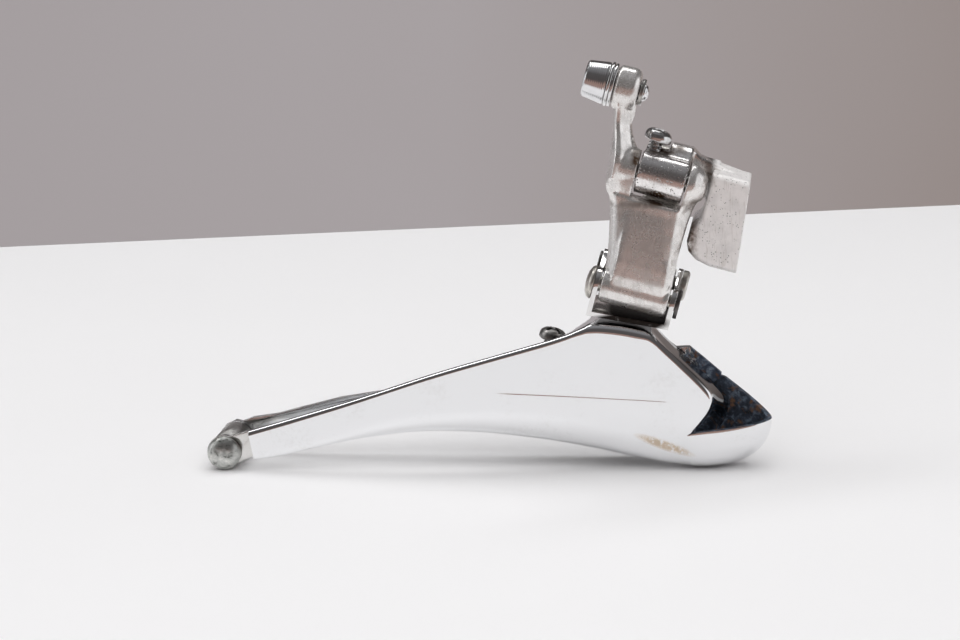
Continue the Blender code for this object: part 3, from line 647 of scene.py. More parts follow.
def crease_path():
    """Line where the flat of the outer plate turns into the curled band, one point for each rim point."""
    return [
        (6.2, 3.4), (12.0, 4.4), (19.0, 6.2), (24.5, 7.9), (31.6, 10.3), (42.3, 12.6), (55.0, 13.1),
        (66.5, 12.4), (71.4, 12.0), (75.0, 11.5), (80.0, 10.7), (84.0, 9.9), (87.0, 9.2), (89.5, 8.7),
        (91.8, 8.3), (93.2, 8.1), (94.4, 8.0), (95.4, 8.0), (96.4, 8.1), (97.4, 8.3),
    ]


def lower_path():
    """Lowest line of the curled band: (x, z, y) for each crease point."""
    return [
        (6.4, 2.2, 0.2), (12.3, 3.1, 0.25), (19.2, 4.8, 0.35), (24.5, 6.0, 0.6), (31.8, 7.3, 1.2),
        (42.5, 8.4, 2.0), (55.0, 8.0, 2.8), (66.5, 6.5, 3.4), (71.4, 5.7, 3.7), (75.0, 5.0, 3.9),
        (80.0, 4.0, 4.1), (84.0, 3.0, 4.3), (87.0, 2.4, 4.5), (89.5, 1.9, 4.7), (91.6, 1.4, 5.0),
        (93.2, 1.0, 5.6), (94.6, 0.75, 6.2), (95.8, 0.55, 6.5), (97.0, 0.4, 6.6), (98.2, 0.25, 6.7),
    ]


def flange_edges():
    """Free edge of the inward flange at each rim point, as (further forward, inward, up) from the rim."""
    wide = CAGE_WIDTH - SHEET - 0.35
    drop = -0.55
    edges = [(0.0, 3.2, drop)] * 8 + [(0.0, 8.5, drop)] + [(0.0, wide, -0.3)] * 3
    edges += [(0.0, 10.8, drop), (0.0, 10.2, drop), (0.0, 10.0, drop), (0.4, 9.0, drop), (1.4, 8.6, -0.6)]
    return edges + [(3.2, 7.8, -0.6), (4.6, 6.4, -1.2), (4.2, 4.4, -1.6)]


def corner_cut(rows, rounds):
    """Chaikin smoothing along a list of equal rows of vectors, ends kept."""
    for _ in range(rounds):
        cut = [rows[0]]
        for left, right in zip(rows, rows[1:]):
            cut.append([a.lerp(b, 0.25) for a, b in zip(left, right)])
            cut.append([a.lerp(b, 0.75) for a, b in zip(left, right)])
        cut.append(rows[-1])
        rows = cut
    return rows


def curl(top, low, steps, fullness, lean=0.0, ahead=0.0):
    """Rounded quarter from top to low; lean makes its start crisper.

    The x share follows the fall when ahead is 0 and the inward travel when it is 1.
    """
    found = []
    power = 2.0 / fullness
    base_in = 1.0 - math.cos(lean) ** power
    base_down = math.sin(lean) ** power
    for step in range(steps + 1):
        angle = lean + (0.5 * math.pi - lean) * step / steps
        inward = (1.0 - max(math.cos(angle), 0.0) ** power - base_in) / (1.0 - base_in)
        down = (math.sin(angle) ** power - base_down) / (1.0 - base_down)
        shares = (down + (inward - down) * ahead, inward, down)
        found.append(Vector([first + (last - first) * share for first, last, share in zip(top, low, shares)]))
    return found


def step_height(x):
    """Height of the shallow pressed step on the face of the outer plate."""
    line = [(48.0, 13.4), (50.3, 14.0), (52.9, 16.0), (56.0, 17.1), (71.5, 16.5), (87.9, 15.7), (100.0, 14.9)]
    if x <= line[0][0]:
        return line[0][1]
    for (x0, z0), (x1, z1) in zip(line, line[1:]):
        if x <= x1:
            return z0 + (z1 - z0) * (x - x0) / (x1 - x0)
    return line[-1][1]


def face_points(rim, crease, reach):
    """Face of the plate from its upper bend to the crease, closer together along the pressed step."""
    top = rim + (crease - rim).normalized() * reach
    span = top.z - crease.z
    target = min(max((top.z - step_height(crease.x * 0.4 + rim.x * 0.6)) / span, 0.2), 0.75)
    half = min(STEP_WIDTH / span, target * 0.25)
    settled = min(0.15 / span, target * 0.1)
    shares = [0.0, settled, target * 0.25, target * 0.5, target - half * 1.5]
    shares += [target - half, target - half * 0.5, target, target + half * 0.5, target + half]
    shares += [target + half + (1.0 - target - half) * part for part in (0.35, 0.6, 0.85, 1.0)]
    found = []
    for share in shares:
        point = top.lerp(crease, share)
        fade = smooth_step(50.0, 62.0, point.x) * (1.0 - smooth_step(92.0, 98.0, point.x))
        below = smooth_step(target - half, target + half, share)
        settle = 1.0 - smooth_step(target + (1.0 - target) * 0.3, 1.0, share)
        point.y -= STEP_DEPTH * fade * below * settle
        found.append(point)
    return found


def nose_plan(turn):
    """Rim and keel of the nose at an angle round its plan: 0 on the outer side, pi on the inner side."""
    ahead = math.sin(turn)
    across = math.cos(turn)
    top = Vector((NOSE_X + NOSE_LENGTH * ahead, KEEL_Y - NOSE_HALF_WIDTH * across, 8.95 + 1.3 * ahead))
    if across < 0.0:
        wall = TIP_Z + (NOSE_X + NOSE_LENGTH - top.x) * 0.74
        seam = 14.0 + (top.x - NOSE_X) * 1.15
        top.z = min(wall, seam)
    keel = Vector((KEEL_X + 3.2 * ahead, KEEL_Y, KEEL_Z - 0.18 * ahead))
    return top, keel


def skin_rows():
    """Rows of the outer skin from tail to nose: flange edge, rim, crease and lowest line."""
    rows = []
    for (rx, rz), (cx, cz), (lx, lz, ly), (dx, dy, dz) in zip(
            rim_path(), crease_path(), lower_path(), flange_edges()):
        places = ((rx + dx, dy, rz + dz), (rx, 0.0, rz), (cx, 0.0, cz), (lx, ly, lz))
        rows.append([Vector(place) for place in places])
    return corner_cut(rows, 3)


def upper_part(edge, rim, crease):
    """Flange and rounded bend above the face, from the free edge outwards."""
    down = crease - rim
    bridge = smooth_step(74.0, 79.0, rim.x) * (1.0 - smooth_step(87.0, 92.0, rim.x))
    reach = min(1.1 + 0.55 * bridge, down.length * 0.42)
    down.normalize()
    start = rim + Vector((0.0, reach, 0.0))
    found = [edge.lerp(start, share) for share in (0.0, 0.3, 0.6, 0.85)]
    for step in range(1, 9):
        turn = 0.5 * math.pi * step / 8
        inward = Vector((0.0, reach * (1.0 - math.sin(turn)), 0.0))
        found.append(rim + down * reach * (1.0 - math.cos(turn)) + inward)
    return found, reach


def cage_outer_plate():
    """Flange, bend, flat face with its pressed step, and curled band."""
    rows = []
    for edge, rim, crease, low in skin_rows():
        top, reach = upper_part(edge, rim, crease)
        full = 2.0 + 0.8 * min(max((low.x - 80.0) / 16.0, 0.0), 1.0)
        row = top[:-1] + face_points(rim, crease, reach)
        row += curl(crease, low, 12, full, lean=0.22)[1:]
        rows.append([spot(*point) for point in row])
    return open_grid("outer_plate_sheet", rows)


def nose_ribs():
    """Ribs from the last column of the plate, round the tip and back to the inner plate."""
    ribs = [(Vector((97.4, 0.0, 8.3)), Vector((KEEL_X, KEEL_Y, KEEL_Z)))]
    for step in range(41):
        ribs.append(nose_plan(math.pi * step / 40))
    ribs.append((Vector((96.5, CAGE_WIDTH, 10.0)), Vector((KEEL_X, KEEL_Y, KEEL_Z))))
    return ribs


def nose_rib(top, keel):
    """Rib from its rim to the keel, upright at the rim and level at the keel."""
    ahead = smooth_step(NOSE_X, NOSE_X + 2.0, top.x)
    fullness = 2.8 - 0.6 * smooth_step(NOSE_X, NOSE_X + NOSE_LENGTH, top.x)
    return curl(top, keel, 20, fullness, ahead=ahead)


def cage_nose():
    """Closed nose: each rib falls from its rim and curls in to the keel."""
    rows = []
    for top, keel in nose_ribs():
        rows.append([spot(*point) for point in nose_rib(top, keel)])
    return open_grid("cage_nose", rows)


def tail_round(start, end, steps):
    """Oval end of both plates round the tail screw, as (x, z); angles in degrees."""
    found = []
    for step in range(steps + 1):
        turn = math.radians(start + (end - start) * step / steps)
        found.append((TAIL_HALF_LENGTH * math.cos(turn), TAIL_Z + TAIL_HALF_HEIGHT * math.sin(turn)))
    return found


def plate_edge():
    """Edge of the inner plate as (x, z), clockwise from the tail."""
    found = [
        (3.6, 8.0), (9.0, 8.8), (14.1, 10.2), (23.0, 12.5), (34.8, 14.4), (59.0, 21.6), (71.0, 25.1),
        (77.0, 28.4), (88.0, 27.8), (92.0, 25.9), (94.6, 23.8), (97.4, 23.9), (100.6, 21.2), (104.0, 18.2),
        (103.6, 16.0), (100.4, 13.0), (96.5, 8.0), (92.3, 4.0),
        (90.0, 2.2), (80.0, 4.6), (71.0, 6.3), (62.0, 7.8), (52.0, 8.6), (42.0, 8.4), (30.0, 7.0),
        (19.0, 4.8), (9.0, 2.2),
    ]
    return found + tail_round(285.0, 75.0, 8)


def plug(start, axis, radius, reach):
    """Plain cylinder that cuts a hole."""
    return lathe("plug", start, axis, [(0.0, 0.0), (0.0, radius), (reach, radius), (reach, 0.0)], 48)


def drill_tail(piece, y, reach):
    """Hole for the tail screw, from depth y inboard."""
    combine(piece, plug(spot(0.0, y, TAIL_Z), Y_AXIS, TAIL_HOLE, reach), "DIFFERENCE")


def cage_inner_plate():
    """Flat inner plate with the lug of the low limit screw."""
    inside = CAGE_WIDTH - SHEET
    outline = plate_edge()
    faces = [[spot(x, y, z) for x, z in outline] for y in (inside, CAGE_WIDTH)]
    plate = closed_loft("inner_plate_sheet", faces)
    root = CAGE_WIDTH - 0.4
    lug = closed_loft("lug", [
        [spot(x, 4.8, high - SHEET), spot(x, 4.8, high), spot(x, root, high), spot(x, root, high - SHEET)]
        for x, high in ((64.8, 23.6), (73.6, 26.2))
    ])
    combine(plate, lug, "UNION")
    drill_tail(plate, 10.0, 6.0)
    return plate


# ---------------------------------------------------------------- castings

def along_p(name, outline, low, high):
    """Solid drawn out along the pivots from an outline of (y, l)."""
    return closed_loft(name, [[link_spot(p, y, l) for y, l in outline] for p in (low, high)])


def along_y(name, outline, low, high):
    """Solid drawn out inboard from an outline of (p, l)."""
    return closed_loft(name, [[link_spot(p, y, l) for p, l in outline] for y in (low, high)])


def blob(name, centre, radii):
    """Ellipsoid with its axes along the pivots, inboard and along the links."""
    bm = bmesh.new()
    bmesh.ops.create_icosphere(bm, subdivisions=4, radius=1.0)
    for vert in bm.verts:
        a, b, c = vert.co
        vert.co = link_spot(centre[0] + a * radii[0], centre[1] + b * radii[1], centre[2] + c * radii[2])
    mesh = bpy.data.meshes.new(name)
    bm.to_mesh(mesh)
    bm.free()
    return new_object(name, mesh)


def waist_section(left, flat_left, flat_right, bevel, right, front, back, l):
    """Link section: a flat middle panel, a hollow band on its left and a steep facet on its right."""
    outline = [
        (left, back), (left, front + 3.0), (left + 1.0, front + 1.35), (left + 1.9, front + 0.8),
        (flat_left - 0.4, front + 0.12), (flat_left + 0.5, front), (flat_right, front),
        (bevel, front + 0.65), (right, front + 2.9), (right, back),
    ]
    return [link_spot(p, y, l) for p, y in outline]


def limb(name, levels):
    """Bar along the links, ridged left of its middle; a level is (l, p, half width, y, half depth)."""
    outline = [(-1.0, 0.1), (-0.85, -0.55), (-0.5, -1.0), (-0.2, -0.95),
               (0.75, -0.35), (1.0, 0.2), (0.7, 0.85), (-0.7, 0.85)]
    rings = []
    for l, p, half_p, y, half_y in levels:
        rings.append([link_spot(p + a * half_p, y + b * half_y, l) for a, b in outline])
    return closed_loft(name, rings)


def side_neck(name, levels):
    """Bar from the waist up to an eye; each level is (l, inner p, middle p, outer p, front, back)."""
    rings = []
    for l, inside, middle, outside, front, back in levels:
        outline = [(inside, front), (middle, front + 0.5), (outside, front + 3.0),
                   (outside, back), (inside, back)]
        rings.append([link_spot(p, y, l) for p, y in outline])
    return closed_loft(name, rings)


def rod(name, low_p, high_p, y, l, profile=None, radius=None):
    """Lathed solid on an axis parallel to the pivots."""
    shape = profile or [(0.0, 0.0), (0.0, radius), (high_p - low_p, radius), (high_p - low_p, 0.0)]
    return lathe(name, link_spot(low_p, y, l), P_AXIS, shape, 64)


def bore(p, place, radius, reach):
    """Cutter along the pivots from p, round a (y, l) place."""
    return rod("bore", p, p + reach, *place, radius=radius)


def outer_link():
    """Broad link: an eye on each side of the drum, the barrel of the lower pivot and the cable arm."""
    shapes = [closed_loft("waist", [waist_section(*level) for level in (
        (-6.5, -4.6, 6.0, 6.6, 7.3, 2.8, 6.8, -27.0),
        (-6.6, -4.6, 6.1, 6.7, 7.4, 1.8, 7.2, -25.0),
        (-6.7, -4.5, 6.0, 6.7, 7.4, 1.5, 7.4, -20.6),
        (-6.85, -4.5, 5.6, 6.4, 7.3, 1.65, 7.5, -18.0),
        (-7.4, -4.5, 4.2, 5.7, 7.1, 2.05, 7.8, -15.0),
        (-8.5, -4.6, 3.0, 5.0, 7.1, 2.8, 8.4, -10.0),
        (-9.3, -4.8, 2.4, 4.7, 7.2, 3.3, 9.0, -7.0),
        (-10.1, -4.9, 2.1, 4.6, 7.4, 3.5, 9.4, -5.0),
    )])]
    shapes.append(rod("barrel", -6.6, 7.5, *OUTER_LOW, radius=3.5))
    shapes.append(rod("eye", -11.0, -5.55, *OUTER_TOP, [
        (0.0, 0.0), (0.0, 2.4), (0.7, 3.6), (2.0, 4.35), (5.45, 4.4), (5.45, 0.0)]))
    shapes.append(rod("eye", 4.95, 8.9, *OUTER_TOP, [
        (0.0, 0.0), (0.0, 4.4), (1.4, 4.35), (2.8, 3.4), (3.95, 2.2), (3.95, 0.0)]))
    shapes.append(side_neck("neck", [
        (-7.5, -5.4, -6.8, -8.6, 4.4, 8.9), (-4.5, -5.4, -7.8, -10.2, 3.8, 10.0),
        (-2.0, -5.4, -8.6, -11.0, 3.6, 11.4), (0.0, -5.4, -8.6, -11.1, 3.65, 12.0)]))
    shapes.append(side_neck("neck", [
        (-7.5, 4.4, 5.0, 6.8, 4.4, 8.9), (-4.5, 4.8, 5.6, 7.5, 3.75, 10.0),
        (-2.0, 4.9, 6.3, 8.2, 3.6, 11.4), (0.0, 4.9, 6.6, 8.7, 3.65, 12.0)]))
    shapes.append(blob("cheek", (-8.9, 7.8, -1.8), (2.5, 3.9, 4.6)))
    shapes.append(limb("arm", [
        (-2.5, -8.7, 2.6, 8.0, 4.5), (1.0, -8.5, 3.2, 8.0, 4.7), (3.0, -8.8, 3.2, 8.2, 4.4),
        (5.2, -9.7, 2.5, 8.7, 3.4), (7.2, -10.5, 2.1, 9.1, 2.6), (9.0, -11.0, 2.1, 9.5, 2.6),
        (10.6, -11.1, 2.35, 9.9, 3.0), (12.8, -11.5, 2.6, 10.3, 3.7)]))
    shapes.append(rod("boss", -14.2, -9.2, *ANCHOR, [
        (0.0, 0.0), (0.0, 3.8), (0.5, 4.45), (3.7, 4.5), (4.6, 4.0), (5.0, 3.2), (5.0, 0.0)]))
    cutters = [bore(-12.0, OUTER_TOP, PIN_HOLE, 24.0), bore(-9.0, OUTER_LOW, PIN_HOLE, 18.0)]
    cutters.append(bore(-16.0, ANCHOR, BOLT_HOLE, 10.0))
    cutters.append(along_y("notch", [(-5.55, -4.95), (-5.55, 8.0), (4.95, 8.0), (4.95, -4.95)], -4.0, 16.0))
    return cast("outer_link_casting", shapes, 0.22, 16, cutters)


def inner_link():
    """Strap behind the outer link, with one upper eye and a forked lower end."""
    half_strap = 1.25
    rings = []
    for l, left, right, y in ((-20.2, -6.3, 7.2, 14.3), (-16.0, -6.3, 7.0, 14.8), (-7.5, -4.2, 5.2, 15.8),
                              (-5.0, -2.2, 3.9, 16.1), (1.6, -2.2, 3.9, 17.0)):
        corners = ((left, -1), (right, -1), (right, 1), (left, 1))
        rings.append([link_spot(p, y + side * half_strap, l) for p, side in corners])
    shapes = [closed_loft("strap", rings)]
    shapes.append(rod("eye", -2.6, 4.2, *INNER_TOP, radius=EYE_RADIUS))
    shapes.append(rod("eye", -6.65, -3.35, *INNER_LOW, radius=EYE_RADIUS))
    shapes.append(rod("eye", 4.2, 7.5, *INNER_LOW, radius=EYE_RADIUS))
    cutters = [bore(-9.0, INNER_TOP, PIN_HOLE, 18.0), bore(-9.0, INNER_LOW, PIN_HOLE, 18.0)]
    cutters.append(bore(-3.0, INNER_LOW, 3.45, 7.2))
    return cast("inner_link_casting", shapes, 0.25, 4, cutters)


def face_p(l):
    return FACE_TOP_P + (FACE_BOTTOM_P - FACE_TOP_P) * (BLOCK_TOP - l) / (BLOCK_TOP - BLOCK_BOTTOM)


def face_normal():
    """Outward normal of the block's front face."""
    top = link_spot(face_p(BLOCK_TOP), 0.0, BLOCK_TOP)
    along = (top - link_spot(face_p(BLOCK_BOTTOM), 0.0, BLOCK_BOTTOM)).normalized()
    return along.cross(Vector((0.0, -1.0, 0.0))).normalized()


def screw_axis():
    lean = math.radians(6.0)
    return (L_AXIS * math.cos(lean) + P_AXIS * math.sin(lean)).normalized()


def block_ring(y, inset):
    """Outline of the frame block at depth y, drawn in all round by inset except at its front face."""
    outline = [(9.4, BLOCK_TOP), (face_p(BLOCK_TOP), BLOCK_TOP), (face_p(BLOCK_BOTTOM), BLOCK_BOTTOM),
               (13.6, BLOCK_BOTTOM), (10.5, -14.5), (8.7, -13.2), (7.9, -11.4), (7.9, -7.2), (9.4, -5.6)]
    middle_p = 12.3
    middle_l = -8.0
    ring = []
    for p, l in outline:
        new_l = l + math.copysign(inset * 0.7, middle_l - l)
        new_p = p + math.copysign(inset * 0.5, middle_p - p)
        if p > 17.0:
            new_p = face_p(new_l)
        ring.append(link_spot(new_p, y, new_l))
    return ring


def mount_body():
    """Drum, web, shoulder, fork cheeks and frame block of the mount casting, with its holes."""
    shapes = [rod("drum", -5.2, 4.6, *OUTER_TOP, radius=4.3)]
    shapes.append(along_p("web", [
        (8.3, -3.2), (8.3, 4.15), (10.2, 4.7), (13.8, 4.9), (13.8, 0.6), (10.6, -3.2)], -4.9, 4.3))
    shapes.append(along_p("web", [
        (9.2, 3.0), (9.2, 4.3), (11.4, 5.9), (12.9, 6.5), (17.6, 6.1), (17.6, 5.3),
        (13.8, 5.25), (13.4, 1.0)], -0.2, 4.6))
    shoulder = (
        (12.8, ((4.3, -3.0), (4.3, 6.3), (6.0, 5.2), (9.6, 4.5), (15.5, 3.7), (15.5, -3.0))),
        (18.4, ((4.6, 0.9), (4.6, 5.9), (6.0, 4.9), (9.6, 4.3), (15.5, 3.7), (15.5, 0.9))),
    )
    shapes.append(closed_loft("shoulder", [[link_spot(p, y, l) for p, l in ring] for y, ring in shoulder]))
    cheek = [(13.05, -1.2), (13.05, 4.4)] + arc_points(*INNER_TOP, 2.8, 90.0, -60.0, 8)
    shapes.append(along_p("cheek", cheek, -4.7, -3.0))
    shapes.append(along_p("cheek", cheek, 4.6, 10.5))
    shapes.append(along_p("back", [(13.2, 0.8), (13.2, 4.3), (13.65, 4.3), (13.65, 0.8)], -4.2, 6.5))
    block = ((6.0, 1.3), (6.35, 0.6), (7.2, 0.0), (17.8, 0.0), (18.65, 0.6), (19.0, 1.3))
    shapes.append(closed_loft("block", [block_ring(y, inset) for y, inset in block]))
    seat = link_spot(*HIGH_SCREW)
    axis = screw_axis()
    cutters = [bore(-12.0, OUTER_TOP, PIN_HOLE, 18.5), bore(-6.0, INNER_TOP, PIN_HOLE, 14.5)]
    cutters.append(plug(seat + axis * 3.0 * MM, -axis, 1.8, 10.4))
    mouth = link_spot(face_p(-5.5), 12.5, -5.5)
    normal = face_normal()
    blind_hole = [(0.0, 0.0), (0.0, 2.5), (7.5, 2.5), (8.6, 0.0)]
    cutters.append(lathe("bore", mouth + normal * MM, -normal, blind_hole, 64))
    beyond_face = [(face_p(8.0), 8.0), (40.0, 8.0), (40.0, -24.0), (face_p(-24.0), -24.0)]
    cutters.append(along_y("slice", beyond_face, 0.0, 26.0))
    return cast("mount_body_casting", shapes, 0.25, 5, cutters)


# ---------------------------------------------------------------- sheet bracket, pins, screws

def cage_bracket():
    """Folded sheet with two cheeks that hold the lower pins."""
    left, right, gauge = -8.0, 8.9, 1.0
    low_l = -30.5
    high_l = -29.0
    profile = [(left, -17.0), (left, low_l), (right, high_l), (right, -17.0),
               (right - gauge, -17.0), (right - gauge, high_l + gauge - 0.1),
               (left + gauge, low_l + gauge + 0.1), (left + gauge, -17.0)]
    made = along_y("bracket_sheet", profile, 1.0, 20.0)
    outline = [(2.4, -34.0), (1.8, -26.0)] + arc_points(*OUTER_LOW, 3.3, 190.0, 50.0, 16)
    outline += arc_points(*INNER_LOW, 3.3, 130.0, -5.0, 16) + [(16.8, -34.0)]
    cheeks = along_p("outline", outline, -10.0, 10.0)
    combine(made, cheeks, "INTERSECT")
    for place in (OUTER_LOW, INNER_LOW):
        combine(made, bore(-12.0, place, BRACKET_HOLE, 24.0), "DIFFERENCE")
    ease_edges(made, 0.22, 3, 35.0, 50.0)
    return made


def pivot_pin(name, low_p, high_p, place, left_head=None, right_head=None):
    """Pin along the pivots round a (y, l) place; a head is its (radius, depth)."""
    profile = [(0.0, 0.0)]
    if left_head:
        head, depth = left_head
        profile = [(-depth, 0.0), (-depth * 0.98, head * 0.3), (-depth * 0.85, head * 0.62),
                   (-depth * 0.55, head * 0.9), (-depth * 0.2, head), (0.0, head * 0.98)]
    profile.append((0.0, PIN_RADIUS))
    length = high_p - low_p
    profile.append((length, PIN_RADIUS))
    if right_head:
        head, depth = right_head
        profile += [(length, head), (length + depth * 0.75, head),
                    (length + depth, head * 0.82), (length + depth, 0.0)]
    else:
        profile.append((length, 0.0))
    return rod(name, low_p, high_p, *place, rounded(profile, 0.25))


def ring_piece(name, start, axis, length, inner, outer, edge=0.12, segments=96):
    """Washer or sleeve with eased edges."""
    axis = Vector(axis).normalized()
    sides = side_axes(axis)
    loop = [(edge, inner), (0.0, inner + edge), (0.0, outer - edge), (edge, outer), (length - edge, outer),
            (length, outer - edge), (length, inner + edge), (length - edge, inner)]
    points = []
    faces = []
    count = len(loop)
    for step in range(segments):
        turn = 2.0 * math.pi * step / segments
        arm = round_arm(sides, turn)
        points += [start + (axis * along + arm * radius) * MM for along, radius in loop]
    for step in range(segments):
        here = step * count
        there = ((step + 1) % segments) * count
        for corner in range(count):
            after = (corner + 1) % count
            faces.append([here + corner, here + after, there + after, there + corner])
    return mesh_object(name, points, faces, 50.0)


def thread(name, start, axis, length, radius, pitch=0.7, depth=0.32):
    """Screw thread: one start, running from start against the axis."""
    axis = Vector(axis).normalized()
    sides = side_axes(axis)
    rows = []
    levels = int(length / pitch * 8)
    segments = 48
    for level in range(levels + 1):
        down = length * level / levels
        row = []
        for step in range(segments + 1):
            turn = 2.0 * math.pi * (step % segments) / segments
            wave = abs(((down / pitch + (step % segments) / segments) % 1.0) * 2.0 - 1.0)
            ease = smooth_step(0.0, 0.5, length - down)
            here = (radius - depth * wave) * (0.75 + 0.25 * ease)
            row.append(start - axis * down * MM + round_arm(sides, turn) * here * MM)
        rows.append(row)
    rows.insert(0, [start + axis * 0.02 * MM] * (segments + 1))
    rows.append([start - axis * length * MM] * (segments + 1))
    return open_grid(name, rows, 60.0)


def pan_screw(name, seat, axis, head, height, shank, length):
    """Pan-head screw with two crossed slots and a cut thread."""
    axis = Vector(axis).normalized()
    side, other = side_axes(axis)
    profile = [(0.0, 0.0), (0.0, head - 0.25), (0.22, head), (height * 0.4, head),
               (height * 0.66, head * 0.93), (height * 0.86, head * 0.72),
               (height * 0.97, head * 0.42), (height, 0.0)]
    made = lathe(name, seat, axis, rounded(profile, 0.22), 72)
    for across, along in ((side, other), (other, side)):
        rings = []
        for depth in (height * 0.45, height + 0.8):
            centre = seat + axis * depth * MM
            rings.append([centre + (along * a * head * 0.74 + across * b * 0.4) * MM
                          for a, b in ((-1, -1), (1, -1), (1, 1), (-1, 1))])
        slot = closed_loft("slot", rings)
        combine(made, slot, "DIFFERENCE")
    ease_edges(made, 0.09, 2, 40.0, 45.0)
    cut = thread(name + "_thread", seat, axis, length, shank)
    return join_shapes(name, [made, cut])


def cable_anchor_bolt():
    """Tapered drum head with a dished end, and the shank through the arm."""
    start = link_spot(0.0, *ANCHOR)
    profile = [(-20.15, 0.0), (-20.2, 1.7), (-20.6, 2.0), (-20.6, 3.3), (-20.3, 3.75), (-16.2, 4.36),
               (-15.8, 4.2), (-15.8, 1.75), (-8.1, 1.75), (-7.5, 1.35), (-7.2, 0.6), (-7.2, 0.0)]
    return lathe("anchor_bolt", start, P_AXIS, rounded(profile, 0.28), 128, 60.0)


def spring_coil():
    """Torsion spring round the lower inner pin with a leg down to the bracket at each end."""
    centre = link_spot(0.0, *INNER_LOW)
    coil, turns, per_turn = 2.55, 5, 28
    path = []
    for step in range(turns * per_turn + 1):
        turn = 2.0 * math.pi * step / per_turn - math.radians(20.0)
        along = -2.4 + 6.0 * step / (turns * per_turn)
        path.append(centre + (P_AXIS * along + round_arm((Y_AXIS, L_AXIS), turn) * coil) * MM)
    path.insert(0, path[0] - L_AXIS * 3.4 * MM)
    path.append(path[-1] - L_AXIS * 2.6 * MM)
    curve = bpy.data.curves.new("spring_coil", "CURVE")
    curve.dimensions = "3D"
    spline = curve.splines.new("POLY")
    spline.points.add(len(path) - 1)
    for point, place in zip(spline.points, path):
        point.co = (*place, 1.0)
    curve.bevel_depth = 0.41 * MM
    curve.bevel_resolution = 4
    curve.use_fill_caps = True
    return new_object("spring_coil", curve)


def tail_dome():
    """Domed head and shank of the tail screw."""
    profile = [(-SCREW_DOME, 0.0), (-2.06, 0.9), (-1.88, 1.7), (-1.5, 2.5), (-1.0, 3.1), (-0.4, 3.5),
               (0.05, 3.6), (0.8, 3.55), (0.8, 1.5), (15.6, 1.5), (15.9, 1.1), (15.9, 0.0)]
    return lathe("tail_dome", spot(0.0, 0.0, TAIL_Z), Y_AXIS, rounded(profile, 0.3), 96, 60.0)


def tail_tab():
    """Joggled tab of the outer plate round the tail screw."""
    outline = [(7.6, 3.4), (7.6, 8.8), (3.2, 7.6)] + tail_round(75.0, 285.0, 16)
    made = closed_loft("tail_tab", [[spot(x, y, z) for x, z in outline] for y in (1.15, 2.2)])
    drill_tail(made, -3.0, 8.0)
    ease_edges(made, 0.18, 3, 40.0, 50.0)
    return made


def hex_nut():
    """Hexagon nut on the tail screw, inboard of the inner plate."""
    sides = side_axes(Y_AXIS)
    turns = [math.radians(60.0 * corner) for corner in range(6)]
    rings = []
    for along, radius in ((0.0, 3.05), (0.2, 3.3), (1.6, 3.3), (1.8, 3.05)):
        centre = spot(0.0, CAGE_WIDTH + 0.3 + along, TAIL_Z)
        rings.append([centre + round_arm(sides, turn) * radius * MM for turn in turns])
    made = closed_loft("tail_hex_nut", rings)
    drill_tail(made, 12.0, 6.0)
    ease_edges(made, 0.12, 3, 25.0, 40.0)
    return made


# ---------------------------------------------------------------- assembly

def sheet_of(piece):
    """Thickens a skin inwards to the sheet's gauge and eases its cut edges."""
    modifier(piece, "SOLIDIFY", thickness=SHEET * MM, offset=-1.0, use_even_offset=False,
             use_quality_normals=True)
    bake(piece)
    ease_edges(piece, 0.14, 2, 55.0, 40.0)
    return piece


def line_inside(piece, look, heart):
    """Second material on the faces that look towards the middle of a hollow."""
    piece.data.materials.append(look)
    for face in piece.data.polygons:
        if face.normal.dot(heart - face.center) > 0.0:
            face.material_index = 1


def build_cage():
    chrome = outer_plate_chrome()
    plate = sheet_of(cage_outer_plate())
    dress(plate, chrome, "cage", "chrome_outer_plate", "cage_outer_plate")
    nose = sheet_of(cage_nose())
    dress(nose, chrome, "cage", "chrome_outer_plate")
    line_inside(nose, nose_crust(), spot(NOSE_X, KEEL_Y, 26.0))
    tab = tail_tab()
    dress(tab, mirror_chrome("tab_chrome", (0.72, 0.71, 0.69), 0.8, 0.16), "cage", "chrome_outer_plate")
    inner = cage_inner_plate()
    ease_edges(inner, 0.16, 3, 50.0, 50.0)
    dress(inner, inner_plate_chrome(), "cage", "chrome_inner_plate", "cage_inner_plate")
    # Painted shade: the bracket web in the gap under the barrel of the outer link is made near-black.
    web_gap_shade = (link_spot(0.4, 9.0, -29.8), (9.6, 14.0, 2.2))
    dress(cage_bracket(), mirror_chrome("bracket_chrome", (0.8, 0.79, 0.78), 0.9, 0.08, web_gap_shade),
          "cage", "chrome_bracket", "cage_bracket")
    dress(tail_dome(), zinc("worn_zinc"), "cage", "zinc_tail_screw", "tail_screw")
    sleeve = ring_piece("tail_spacer", spot(0.0, 2.5, TAIL_Z), Y_AXIS, 9.5, 1.8, 3.5, 0.25)
    dress(sleeve, turned_steel("sleeve_steel", (0.62, 0.61, 0.59), 0.26, (0, 1, 0), 0.012, 0.5),
          "cage", "steel_tail_sleeve", "tail_sleeve")
    dress(hex_nut(), zinc("nut_zinc", (0.46, 0.46, 0.45)), "cage", "zinc_tail_nut", "tail_nut")


